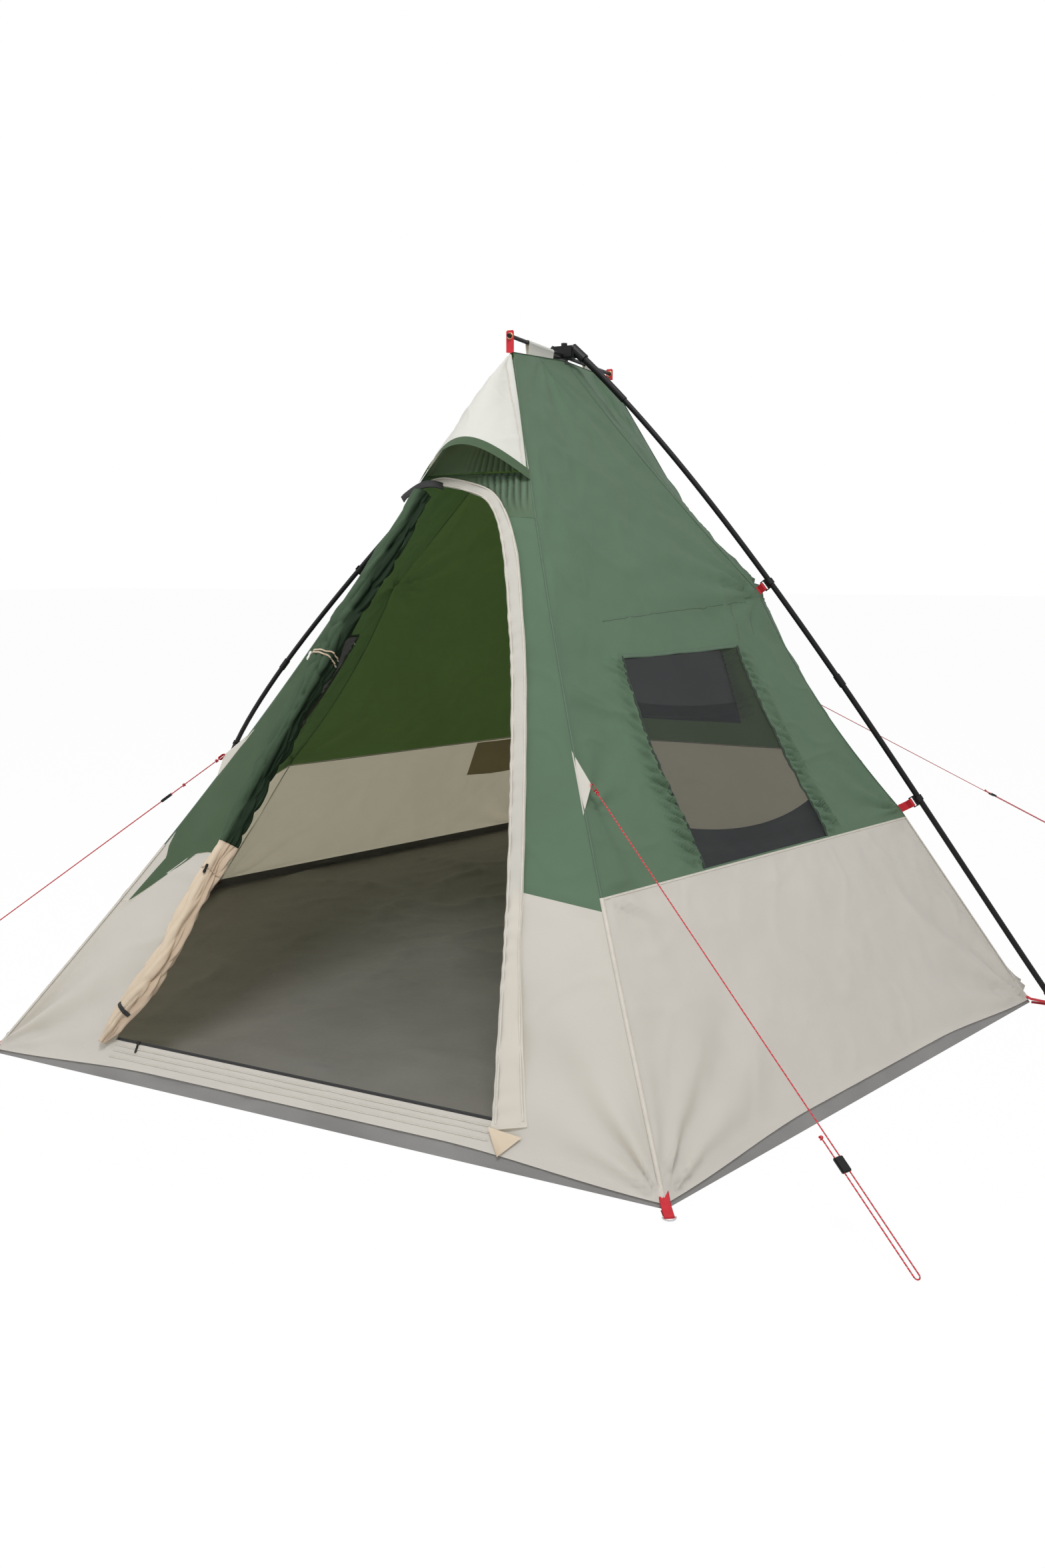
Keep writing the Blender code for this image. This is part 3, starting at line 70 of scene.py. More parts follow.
LEVEL = np.array((1.0, 1.0, 0.0))

# Hems and the groundsheet's rim: hidden at the floor corners, showing between them
HEM_LOW = 0.008
HEM_HIGH = 0.029
HEM_RISE = 0.55
HEM_PROUD = 0.0040
RIM_TOP = 0.039
RIM_INSET = 0.0010
FLOOR_INSET = 0.9982

# Doorway, in the plane of the door face
DOOR_FOOT_LEFT = 0.575
DOOR_HEAD_LEFT = 0.170
DOOR_HEAD_Z = 1.500
SILL_TOP = 0.083
SILL_STITCHES = (0.046, 0.060, 0.072)
ARCH = ((0.543, 0.035), (0.490, 0.258), (0.416, 0.565), (0.299, 0.966), (0.226, 1.165),
        (0.172, 1.298), (0.120, 1.400), (0.062, 1.467), (-0.015, 1.497), (-0.100, 1.513))
ARCH_RUN = (*ARCH, (-0.140, 1.513), (-0.172, 1.506))
FLAP_FOOT_Z = 0.064
FLAP_FOOT_WIDTH = 0.092
FLAP_WIDTH = 0.043
FLAP_CROWN_WIDTH = 0.027
FLAP_OVERLAP = 0.012
FLAP_PROUD = 0.0048
FLAP_CROWN = 0.0022
FLAP_TIP = ((0.528, 0.070), (0.610, 0.064), (0.565, 0.021))
CROWN_Z = 1.548
CROWN_FOOT_Z = 1.506
CROWN_OVERLAP = 0.012
CROWN_TURN = 0.30
PLEAT_FOOT_Z = 1.430

# The green cloth's lower edge left of the door, as shares of the way from the corner edge to the
# door; the cream wedge between it and that edge; and its lower edge right of the door
LEFT_TOP = ((0.0, 0.394), (0.126, 0.394), (0.313, 0.451), (0.514, 0.504), (0.628, 0.525), (0.801, 0.532),
            (1.0, 0.532))
LEFT_WEDGE = ((0.394, 0.0295), (0.465, 0.035), (0.503, 0.039), (0.532, 0.0174), (0.571, 0.0035), (0.600, 0.0))
RIGHT_DOOR_Z = 0.528
RIGHT_DIP_Z = 0.506

# Hood
HOOD_RIM_Z = 1.553
HOOD_RIM_RISE = 0.030
HOOD_REACH = 0.110
HOOD_HEM_SHARE = 0.081
HOOD_PUFF = 0.020
HOOD_SEAM_INSET = 0.044
HOOD_TOP_SHARE = 0.985

# Windows: shares of the wall's width at the foot and the head, and the heights of both
WINDOWS = {"right_front": ((0.28, 0.688), (0.245, 0.750), 0.538, 1.055),
           "left_front": ((0.28, 0.688), (0.245, 0.750), 0.538, 1.055),
           "back": ((0.27, 0.73), (0.22, 0.78), 0.640, 1.000)}
WINDOW_COLUMNS = (40, 36, 34)
WINDOW_ROWS = 144
ROWS_ABOVE = 70
PUCKERS = ((0.022, 0.020, 0.018, 0.0170, 1.0, 0.55), (0.040, 0.044, 0.026, 0.0160, 6.0, 0.8))
COVER_DROOP = 0.066
COVER_END_RISE = 0.032

# Seams across the right front wall
WALL_SEAMS = (((0.422, -0.706, 1.134), (0.660, 0.050, 1.182)), ((0.597, -0.145, 1.171), (0.654, -0.208, 1.067)),
              ((0.622, -0.058, 1.180), (0.680, -0.126, 1.071)))

# Rolled door panel
ROLL_HEIGHTS = (0.070, 0.110, 0.200, 0.300, 0.546, 0.755, 0.950, 1.080, 1.200, 1.320, 1.400, 1.478)
ROLL_RADII = (0.014, 0.028, 0.040, 0.037, 0.038, 0.046, 0.050, 0.050, 0.048, 0.044, 0.038, 0.036)
ROLL_SHIFTS = (-0.026, -0.006, 0.027, 0.037, 0.034, 0.036, 0.034, 0.032, 0.036, 0.040, 0.044, 0.040)
ROLL_DEPTH = 0.72
ROLL_STANDOFF = 0.0040
ROLL_SEAM_Z = 0.546
ROLL_UV = 0.045
ROLL_SHADE_TURN = 0.25
ROLL_SIDES = 96

# The roll's ties (height, cord radius, turns) and their toggles (height, angle, finish, radius)
TIES = (("lower", 0.474, 0.0016, 1), ("middle", 1.011, 0.0024, 2))
TOGGLES = (("lower", 0.476, 1.55, "plastic", 0.0042), ("middle", 1.005, 2.55, "white", 0.0040))
TOGGLE_HALF = 0.013
TOGGLE_SHAPE = (0.55, 0.85, 1.0, 0.8, 0.7, 0.8, 1.0, 0.85, 0.55)

# The crown's cloth: where it turns from the hood's painted shadow to the walls' green, and its pleats
CLEAR_FROM = -0.020
CLEAR_TO = 0.090
PLEAT_LEVEL = 1.5
PLEAT_LEAN = 0.30
PLEAT_TURNS = 157.0
PLEAT_FADE = 0.070

# Corner webbing, guy-line patches and guy-lines
CORNER_TAB = 0.036
SIDE_TAB = 0.060
TAB_WIDTH = 0.0225
RING_Z = 0.0036
RING_WIRE = 0.0016
PATCH_TOP_Z = 0.840
PATCH_FOOT_Z = 0.700
PATCH_TIP_Z = 0.768
PATCH_REACH = 0.031
LOOP_REACH = 0.023
LOOP_BACK = 0.003
LOOP_HALF = 0.0045
CORD_RADIUS = 0.0015
STRAND_GAP = 0.0140
CORD_TAIL = 0.060
FRONT_PEG = (1.456, -1.657)
BACK_PEG = (1.600, 2.500)
TENSIONER_SHARES = {"front_right": 0.81, "front_left": 0.14, "back_right": 0.64}

# Colours, linear: of the cloth's face, and of the light that comes through it
GREEN = (0.125, 0.205, 0.132)
GREEN_THROUGH = (0.115, 0.200, 0.040)
CREAM = (0.800, 0.765, 0.710)
CREAM_THROUGH = (0.850, 0.780, 0.580)
HOOD_CREAM = (0.740, 0.740, 0.695)
WARM_CREAM = (0.720, 0.600, 0.460)
# Painted shade: the cream roll's colour round its inner side, away from the light
WARM_PAINTED_SHADE = (0.600, 0.470, 0.350)
ROLL_GREEN = (0.054, 0.090, 0.052)
FRONT_GREEN = (0.082, 0.134, 0.076)
# Painted shade: less light through the left front wall, so its inside looks darker
LEFT_SHADE_THROUGH = (0.070, 0.140, 0.028)
# Painted shade: the green roll's colour round its inner side, away from the light
ROLL_PAINTED_SHADE = (0.011, 0.023, 0.011)
# Green darkened as painted shade: the hood's shadow on the crown and on the vent cloth behind the hood
HOOD_SHADE_GREEN = (0.072, 0.118, 0.060)
CROWN_GREEN = (0.095, 0.155, 0.095)
GREY = (0.210, 0.205, 0.200)
FLOOR_GREY = (0.180, 0.174, 0.158)
OLIVE = (0.400, 0.340, 0.190)
RED = (0.560, 0.010, 0.022)
BLACK = (0.012, 0.012, 0.013)
NET_GREY = (0.033, 0.035, 0.037)
CORD_RED = (0.600, 0.012, 0.024)
CORD_BANDS = ((0.0, CORD_RED), (0.56, (0.55, 0.36, 0.36)), (0.70, (0.05, 0.004, 0.007)), (0.84, CORD_RED))
NODE_FINISHES = (("pole_tab", "red"), ("ridge_tab", "red"), ("peg_ring", "steel"), ("pole_", "pole"),
                 ("ridge_rod", "pole"), ("door_tie", "black_web"), ("ridge_tape", "green"), ("", "plastic"))

# Light: the surround's strength on the object and its share in gloss, the floor's share of plain
# white, and the lamps (name, place, size, power)
AMBIENT = 0.62
GLOSSY_SHARE = 0.4
FLOOR_WHITE = 0.95
FLOOR_HALF = 60.0
FLOOR_Z = -0.0015
LAMPS = (("key", (1.4, -3.4, 6.0), 1.8, 208.0), ("fill", (-5.0, -3.0, 3.0), 3.5, 40.0))
LAMP_AIM = (0.0, 0.0, 0.8)

# The photograph's camera
LENS = 28.12
CAMERA_PLACE = (1.6863, -3.8223, 1.2815)
CAMERA_DIP = 0.174
CAMERA_TURN = 0.448


class Nodes:
    """A node tree, with short ways to add nodes to it."""

    def __init__(self, tree):
        self.tree = tree

    def feed(self, node, values):
        """Set a node's inputs, or link them where the value is another node's output."""
        for key, value in values.items():
            if isinstance(value, bpy.types.NodeSocket):
                self.tree.links.new(value, node.inputs[key])
            else:
                node.inputs[key].default_value = value

    def node(self, kind, values, output=0, **settings):
        """Add a node and give one of its outputs."""
        made = self.tree.nodes.new("ShaderNode" + kind)
        for key, value in settings.items():
            setattr(made, key, value)
        self.feed(made, values)
        return made.outputs[output]

    def math(self, operation, first, second=0.0):
        """One arithmetic step, between sockets or numbers."""
        return self.node("Math", {0: first, 1: second}, operation=operation)


class Look(Nodes):
    """A new material and its Principled shader."""

    def __init__(self, name, **values):
        self.made = bpy.data.materials.new(name)
        self.made.use_nodes = True
        super().__init__(self.made.node_tree)
        self.shader = self.tree.nodes["Principled BSDF"]
        self.place = self.tree.nodes.new("ShaderNodeTexCoord").outputs
        self.paint(**values)

    def paint(self, **values):
        """Feed the Principled shader; an underscore stands for a space."""
        self.feed(self.shader, {key.replace("_", " "): value for key, value in values.items()})

    def split(self, vector):
        """The X, Y and Z of a vector."""
        return self.node("SeparateXYZ", {"Vector": vector}).node.outputs

    def noise(self, scale, detail, roughness=0.55):
        """Noise in the piece's own space."""
        return self.node("TexNoise", {"Scale": scale, "Detail": detail, "Roughness": roughness,
                                      "Vector": self.place["Object"]}, "Fac")

    def wave(self, vector, direction, pitch, distortion):
        """Straight waves at a pitch in metres."""
        return self.node("TexWave", {"Vector": vector, "Scale": math.pi / 10 / pitch, "Distortion": distortion},
                         "Fac", bands_direction=direction)

    def weave(self, pitch):
        """The height of a plain weave: two crossed waves over the UVs."""
        return self.math("MULTIPLY", *(self.wave(self.place["UV"], direction, pitch, 0.4) for direction in "XY"))

    def spread(self, value, low, high):
        """Map the middle half of a noise onto low to high."""
        return self.node("MapRange", {"Value": value, "From Min": 0.25, "From Max": 0.75,
                                      "To Min": low, "To Max": high}, "Result")

    def tint(self, rgb, factor):
        """A colour times a factor from the nodes."""
        return self.node("VectorMath", {0: rgb, "Scale": factor}, operation="SCALE")

    def mix(self, factor, first, second):
        """One colour where the factor is 0, another where it is 1."""
        return self.node("Mix", {"Factor": factor, "A": first, "B": second}, "Result", data_type="RGBA")

    def blend(self, value, low, high, first, second):
        """A smooth change from the first colour where value is low to the second where it is high."""
        share = self.node("MapRange", {"Value": value, "From Min": low, "From Max": high}, "Result",
                          interpolation_type="SMOOTHSTEP")
        return self.mix(share, first, second)

    def bump(self, height, distance, strength=0.6):
        """Add a bump to the shader and give its normal."""
        normal = self.node("Bump", {"Height": height, "Distance": distance, "Strength": strength}, "Normal")
        self.paint(Normal=normal)
        return normal

    def overlay(self, factor, second):
        """Mix the Principled shader with a second one at the material's output."""
        mixed = self.node("MixShader", {"Fac": factor, 1: self.shader.outputs["BSDF"], 2: second}, "Shader")
        self.feed(self.tree.nodes["Material Output"], {"Surface": mixed})


def cloth(name, rgb, through_rgb=None, through=0.0, roughness=0.72, pitch=0.0012, vary=0.07, wrinkle=0.0006,
          painted_shade_rgb=None, clear_rgb=None):
    """Woven cloth: thread bump, faint blotches and some light passing through.

    A shade colour, where given, is painted shade round a roll's inner side; clear_rgb is the crown's colour at its
    right end, clear of the hood's painted shadow.
    """
    look = Look(name)
    fine = look.noise(60.0, 4.0, 0.7)
    factor = look.spread(look.noise(3.0, 3.0), 1 - vary, 1 + vary)
    colour = look.tint(rgb, factor)
    # Painted shade round a roll's inner side
    if painted_shade_rgb:
        colour = painted_roll_shade(look, colour, look.tint(painted_shade_rgb, factor))
    # The crown's painted shadow of the hood, and painted shade in its pleats' grooves
    if clear_rgb:
        colour = pleated(look, colour, clear_rgb, factor)
    look.paint(Base_Color=colour, Roughness=look.spread(fine, roughness - 0.07, roughness + 0.07),
               Specular_IOR_Level=0.12 if painted_shade_rgb else 0.30, Sheen_Weight=0.0 if painted_shade_rgb else 0.08,
               Sheen_Roughness=0.5)
    height = look.math("ADD", look.math("MULTIPLY", look.weave(pitch), 0.25), fine)
    normal = look.bump(height, wrinkle, 0.7)
    if through:
        look.overlay(through, look.node("BsdfTranslucent", {"Color": look.tint(through_rgb, factor),
                                                            "Normal": normal}))
    return look.made


def painted_roll_shade(look, light, dark):
    """Painted shade: mix to the dark colour round the roll's inner side, the side away from the light; UV's x is the
    angle times ROLL_UV.
    """
    place = look.split(look.place["UV"])
    sway = look.math("SINE", look.math("MULTIPLY", place["Y"], 8.0))
    turned = look.math("ADD", look.math("MULTIPLY", place["X"], 1 / ROLL_UV), look.math("MULTIPLY", sway, 0.22))
    facing_in = look.math("COSINE", look.math("ADD", turned, ROLL_SHADE_TURN))
    return look.blend(facing_in, -0.25, 0.45, light, dark)


def pleated(look, dark, clear_rgb, factor):
    """The crown's colour: the hood's painted shadow on the left, pleats with painted shade in their grooves on the
    right, fading into the wall at its foot.
    """
    place = look.split(look.place["Object"])
    lean = look.math("ADD", place["X"], look.math("MULTIPLY", look.math("SUBTRACT", place["Z"], PLEAT_LEVEL),
                                                  PLEAT_LEAN))
    # Painted shade in the pleats' grooves
    groove = look.math("ABSOLUTE", look.math("SINE", look.math("MULTIPLY", lean, PLEAT_TURNS)))
    shade = look.math("ADD", look.math("MULTIPLY", look.math("POWER", groove, 0.7), 0.80), 0.25)
    bright = look.tint(clear_rgb, look.math("MULTIPLY", factor, shade))
    # Painted shadow of the hood: dark on the left, turning clear towards the right
    colour = look.blend(place["X"], CLEAR_FROM, CLEAR_TO, dark, bright)
    return look.blend(place["Z"], PLEAT_FOOT_Z, PLEAT_FOOT_Z + PLEAT_FADE, look.tint(FRONT_GREEN, factor), colour)


def webbing(name, rgb):
    """Ribbed flat webbing with a herringbone of fine ribs."""
    look = Look(name, Roughness=0.66)
    ribs = look.wave(look.place["Object"], "DIAGONAL", 0.0020, 0.6)
    worn = look.noise(70.0, 4.0, 0.7)
    shade = look.math("MULTIPLY", look.spread(worn, 0.80, 1.15), look.spread(ribs, 0.90, 1.05))
    look.paint(Base_Color=look.tint(rgb, shade))
    look.bump(look.math("ADD", ribs, worn), 0.0005)
    return look.made


def moulded(name, rgb, roughness, metallic=0.0, specular=0.5):
    """Moulded plastic or coated metal: fine grain, faint scuffs and softer edges."""
    look = Look(name, Metallic=metallic)
    scuff = look.noise(45.0, 6.0, 0.75)
    look.paint(Base_Color=look.tint(rgb, look.spread(scuff, 0.80, 1.35)), Specular_IOR_Level=specular,
               Roughness=look.spread(scuff, roughness - 0.06, roughness + 0.10))
    look.bump(look.noise(900.0, 2.0), 0.00012, 0.35)
    return look.made


def netting(name, rgb, clear):
    """Insect mesh: a fine grid of dark threads that lets a share of the view through."""
    look = Look(name, Roughness=0.85)
    look.paint(Base_Color=look.tint(rgb, look.spread(look.noise(5.0, 3.0), 0.85, 1.15)))
    look.overlay(look.spread(look.weave(0.0014), clear - 0.04, clear + 0.04), look.node("BsdfTransparent", {}))
    return look.made


def braid(name):
    """Braided cord: red with pale and dark flecks that wind round it; UV runs along it in metres."""
    look = Look(name, Roughness=0.75)
    place = look.split(look.place["UV"])
    turns = look.math("MULTIPLY", place["X"], 85.0)
    wound = look.math("FRACT", look.math("ADD", turns, place["Y"]))
    flecks = look.node("ValToRGB", {"Fac": wound}, "Color")
    ramp = flecks.node.color_ramp
    ramp.interpolation = "CONSTANT"
    while len(ramp.elements) < len(CORD_BANDS):
        ramp.elements.new(0.5)
    for element, (start, rgb) in zip(ramp.elements, CORD_BANDS):
        element.position = start
        element.color = (*rgb, 1.0)
    look.paint(Base_Color=flecks)
    look.bump(look.math("SINE", look.math("MULTIPLY", turns, 12.0)), 0.0003)
    return look.made


def stitched(name, rgb, thread_rgb):
    """A sewn-down seam: cloth with two rows of stitches; UV runs along it in metres and across it."""
    look = Look(name, Roughness=0.74)
    place = look.split(look.place["UV"])
    on = look.math("GREATER_THAN", look.math("FRACT", look.math("MULTIPLY", place["X"], 210.0)), 0.35)
    off_line = look.math("ABSOLUTE", look.math("SUBTRACT", look.math("ABSOLUTE", place["Y"]), 0.55))
    stitch = look.math("MULTIPLY", on, look.math("LESS_THAN", off_line, 0.14))
    worn = look.noise(40.0, 4.0, 0.7)
    look.paint(Base_Color=look.mix(stitch, look.tint(rgb, look.spread(worn, 0.88, 1.08)), (*thread_rgb, 1.0)))
    look.bump(look.math("ADD", stitch, worn), 0.0004)
    return look.made


def finishes():
    """Every material of the tent by the name of its finish; a tie is cut from the rolled door's cream."""
    made = {
        "green": cloth("green_cloth_look", GREEN, GREEN_THROUGH, 0.30, vary=0.05),
        "front_green": cloth("front_green_look", FRONT_GREEN, GREEN_THROUGH, 0.30, vary=0.06),
        # A shaded copy of the green: less light through the left front wall, as painted shade
        "left_green": cloth("left_green_shaded_look", GREEN, LEFT_SHADE_THROUGH, 0.30, vary=0.05),
        # The crown: the hood's painted shadow on its left and painted shade in its pleats' grooves
        "pleated": cloth("pleated_green_painted_shade_look", HOOD_SHADE_GREEN, GREEN_THROUGH, 0.06, 0.62, clear_rgb=CROWN_GREEN),
        # The rolled door's green, with painted shade round its inner side
        "roll_green": cloth("rolled_green_painted_shade_look", ROLL_GREEN, None, 0.0, 0.60, wrinkle=0.0012, painted_shade_rgb=ROLL_PAINTED_SHADE),
        "cream": cloth("cream_cloth_look", CREAM, CREAM_THROUGH, 0.38, 0.70, vary=0.025),
        "hood": cloth("hood_cream_look", HOOD_CREAM, CREAM_THROUGH, 0.22, 0.70, vary=0.02),
        # The rolled door's cream, with painted shade round its inner side
        "warm": cloth("warm_cream_painted_shade_look", WARM_CREAM, CREAM_THROUGH, 0.12, 0.70, vary=0.06, wrinkle=0.0012,
                      painted_shade_rgb=WARM_PAINTED_SHADE),
        # The vent cloth behind the hood: green darkened with the hood's painted shade
        "dark": cloth("hood_shade_green_look", HOOD_SHADE_GREEN, GREEN_THROUGH, 0.06, 0.62),
        "grey": cloth("groundsheet_look", GREY, None, 0.0, 0.50, 0.0022, 0.16, 0.0010),
        "floor": cloth("groundsheet_floor_look", FLOOR_GREY, None, 0.0, 0.46, 0.0022, 0.12, 0.0008),
        "cover": cloth("window_cover_look", (0.018, 0.024, 0.021), None, 0.0, 0.62, vary=0.10, wrinkle=0.0012),
        "olive": cloth("pocket_look", OLIVE, CREAM_THROUGH, 0.10, 0.78, vary=0.08),
        "net": netting("netting_look", NET_GREY, 0.50),
        "back_net": netting("back_netting_look", (0.045, 0.045, 0.046), 0.05),
        "red": webbing("red_webbing_look", RED),
        "black_web": webbing("black_webbing_look", BLACK),
        "plastic": moulded("black_plastic_look", (0.008, 0.008, 0.009), 0.40, specular=0.28),
        "pole": moulded("black_pole_look", (0.006, 0.006, 0.007), 0.34, specular=0.25),
        "steel": moulded("steel_look", (0.62, 0.62, 0.63), 0.26, 1.0),
        "brass": moulded("brass_look", (0.70, 0.53, 0.25), 0.30, 1.0),
        "white": moulded("white_toggle_look", (0.72, 0.70, 0.66), 0.45),
        "cord": braid("braided_cord_look"),
        "seam_green": stitched("green_seam_look", (0.082, 0.136, 0.087), (0.066, 0.110, 0.070)),
        "seam_dark": stitched("dark_seam_look", (0.022, 0.036, 0.024), (0.012, 0.018, 0.013)),
        "seam_cream": stitched("cream_seam_look", (0.580, 0.545, 0.485), (0.480, 0.440, 0.370)),
        "zip": stitched("zip_tape_look", (0.014, 0.014, 0.015), (0.05, 0.05, 0.05)),
    }
    made["tie"] = made["warm"]
    return made


# The finishes that each slot of the record holds
SLOTS = {"green_cloth": "green front_green left_green pleated roll_green seam_green seam_dark",
         "cream_cloth": "cream hood warm seam_cream", "dark_green_cloth": "dark cover", "olive_cloth": "olive",
         "groundsheet": "grey floor", "netting": "net back_net", "red_webbing": "red",
         "black_webbing": "black_web tie", "black_plastic": "plastic white", "rope": "cord", "zip_tape": "zip",
         "steel_wire": "brass"}
SLOT_OF = {finish: slot for slot, held in SLOTS.items() for finish in held.split()}


def unit(v):
    """Vectors of length one."""
    return v / np.maximum(np.linalg.norm(v, axis=-1, keepdims=True), 1e-12)


def fade(x, width):
    """0 at x = 0, smoothly up to 1 at width."""
    t = np.clip(np.asarray(x) / width, 0.0, 1.0)
    return t * t * (3 - 2 * t)


def shares(columns, rows):
    """Two grids of shares from 0 to 1: across and up."""
    return np.meshgrid(np.linspace(0, 1, columns), np.linspace(0, 1, rows))


def run_of(path):
    """The distance of each point of a path from its start, along it."""
    return np.concatenate([[0.0], np.cumsum(np.linalg.norm(np.diff(path, axis=0), axis=1))])


def corner_edge(side, end):
    """The fabric's edge from a front or back floor corner to the ridge's end."""
    top = RIDGE_FRONT_Z if end < 0 else RIDGE_REAR_Z

    def place(z):
        t = np.asarray(z, float) / top
        x = FACE_HALF_WIDTH * (1 - t) - EDGE_HOLLOW * np.sin(np.pi * t) + RIDGE_SLIT * t
        if side < 0 and end < 0:
            x = x - LEFT_HOLLOW * np.sin(np.pi * np.minimum(t * top / LEFT_HOLLOW_TOP, 1.0))
        return np.stack([side * x, end * (FACE_REACH * (1 - t) + RIDGE_HALF * t), t * top], -1)
    return place, top


def side_edge(side):
    """The fabric's edge from a side floor corner to the hub, pulled out at its two tabs."""
    knots = ((SIDE_REACH, 0.0, 0.0), (*TAB_LOWER, 0.0), (*TAB_UPPER, SAG_BETWEEN),
             (RIDGE_SLIT, RIDGE_MID_Z, SAG_ABOVE))

    def place(z):
        z = np.asarray(z, float)
        x = np.zeros_like(z)
        for (x0, z0, _), (x1, z1, sag) in zip(knots, knots[1:]):
            t = (z - z0) / (z1 - z0)
            x = np.where((t >= 0) & (t <= 1 + 1e-9), x0 + (x1 - x0) * t - 4 * sag * t * (1 - t), x)
        return np.stack([side * x, 0 * x, z], -1)
    return place, RIDGE_MID_Z


def level(edge, height):
    """A point of an edge; above the seam, heights stretch to the edge's own top."""
    place, top = edge
    share = (height - SEAM_HEIGHT) / (RIDGE_MID_Z - SEAM_HEIGHT)
    return place(np.where(height > SEAM_HEIGHT, SEAM_HEIGHT + share * (top - SEAM_HEIGHT), height))


# The corner edges in order round the floor, and the two edges of each closed wall
EDGES = {"front_left": corner_edge(-1, -1), "front_right": corner_edge(1, -1), "side_right": side_edge(1),
         "back_right": corner_edge(1, 1), "back_left": corner_edge(-1, 1), "side_left": side_edge(-1)}
WALLS = {name: (EDGES[first], EDGES[second]) for name, first, second in (
    ("right_front", "front_right", "side_right"), ("right_back", "back_right", "side_right"),
    ("left_front", "front_left", "side_left"), ("left_back", "back_left", "side_left"),
    ("back", "back_right", "back_left"))}


def wall_point(wall, share, height):
    """Points of a wall between its two edges; share and height are arrays of one shape."""
    height = np.asarray(height, float)
    a, b = level(wall[0], height), level(wall[1], height)
    return a + (b - a) * np.asarray(share, float)[..., None]


def face_slope():
    return (FACE_REACH - RIDGE_HALF) / RIDGE_FRONT_Z


FACE_NORMAL = unit(np.array((0.0, -1.0, face_slope())))


def face_point(x, z, out=0.0):
    """Points of the door face, out metres in front of it."""
    x, z, out = np.broadcast_arrays(np.asarray(x, float), np.asarray(z, float), np.asarray(out, float))
    return np.stack([x, -FACE_REACH + face_slope() * z, z], -1) + FACE_NORMAL * out[..., None]


def face_half(z, side=1):
    """How far the door face reaches to one side at a height."""
    return side * corner_edge(side, -1)[0](z)[..., 0]


def door_left(z):
    """The door's left side, where its panel is sewn on."""
    t = (np.asarray(z, float) - FLOOR_RISE) / (DOOR_HEAD_Z - FLOOR_RISE)
    return -(DOOR_FOOT_LEFT + (DOOR_HEAD_LEFT - DOOR_FOOT_LEFT) * t)


def left_top(share):
    """Height of the green cloth's lower edge left of the door, from the corner edge (0) to the door (1)."""
    return np.interp(share, *zip(*LEFT_TOP))


def left_edge(z):
    """Where the green cloth left of the door begins: a cream wedge lies between it and the corner edge."""
    return -face_half(z, -1) + np.interp(z, *zip(*LEFT_WEDGE))


def skirt_foot(from_corner):
    """Height of a skirt's hem: low at the floor corners, higher between them."""
    return HEM_LOW + (HEM_HIGH - HEM_LOW) * fade(from_corner, HEM_RISE)


def smooth_path(points, count):
    """Points at even steps along a smooth curve through the given points."""
    knots = np.array(points, float)
    knots = np.vstack([2 * knots[0] - knots[1], knots, 2 * knots[-1] - knots[-2]])
    fine = []
    for k in range(1, len(knots) - 2):
        a, b, c, d = knots[k - 1:k + 3]
        for t in np.arange(24) / 24:
            fine.append(0.5 * (2 * b + (c - a) * t + (2 * a - 5 * b + 4 * c - d) * t * t
                               + (3 * b - a - 3 * c + d) * t ** 3))
    fine = np.array(fine + [knots[-2]])
    run = run_of(fine)
    goals = np.linspace(0.0, run[-1], count)
    return np.stack([np.interp(goals, run, fine[:, k]) for k in range(fine.shape[1])], -1)


def arch_path(count):
    """The doorway's free side from the sill round to the crown, with its outward direction."""
    path = smooth_path(ARCH_RUN, count)
    tangent = unit(np.gradient(path, axis=0))
    return path, np.stack([tangent[:, 1], -tangent[:, 0]], -1)


def arch_x(z, offset=0.0):
    """Where the doorway's free side crosses a height."""
    path, normal = arch_path(180)
    line = path + normal * offset
    rising = line[:int(np.argmax(line[:, 1])) - 8]
    return np.interp(z, rising[:, 1], rising[:, 0])


def flap_width(z):
    """Width of the door's edge flap: flared at its foot, narrower round the crown."""
    low = FLAP_FOOT_WIDTH + (FLAP_WIDTH - FLAP_FOOT_WIDTH) * np.clip((z - FLOOR_RISE) / 0.385, 0, 1) ** 0.7
    high = FLAP_WIDTH + (FLAP_CROWN_WIDTH - FLAP_WIDTH) * np.clip((z - 1.30) / 0.20, 0, 1)
    return np.where(z < 0.42, low, high)


def ridge_z(y):
    """Height of the ridge seam."""
    return np.interp(y, (-RIDGE_HALF, 0.0, RIDGE_HALF), (RIDGE_FRONT_Z, RIDGE_MID_Z, RIDGE_REAR_Z))


def grid_normals(grid, centre=CENTRE):
    """Normals of a grid of points, turned away from centre."""
    normals = unit(np.cross(np.gradient(grid, axis=1), np.gradient(grid, axis=0)))
    turned = ((grid - centre) * normals).sum(-1) < 0
    normals[turned] *= -1
    return normals


def facing(grid):
    """The direction that a grid of points faces as a whole."""
    return unit(grid_normals(grid).mean((0, 1)))


def reach_in(grid):
    """How far each point lies from the sheet's nearest border, along its rows and columns."""
    across = np.linalg.norm(np.diff(grid, axis=1), axis=-1)
    along = np.linalg.norm(np.diff(grid, axis=0), axis=-1)
    left = np.concatenate([np.zeros((len(grid), 1)), np.cumsum(across, 1)], 1)
    low = np.concatenate([np.zeros((1, grid.shape[1])), np.cumsum(along, 0)], 0)
    return np.minimum(np.minimum(left, left[:, -1:] - left), np.minimum(low, low[-1:] - low))


def swell(grid, size, seed):
    """Smooth random heights from -1 to 1, with features about size metres across."""
    points = grid.reshape(-1, 3) / size + seed * 7.31
    return np.array([noise.noise(Vector(p)) for p in points]).reshape(grid.shape[:-1])


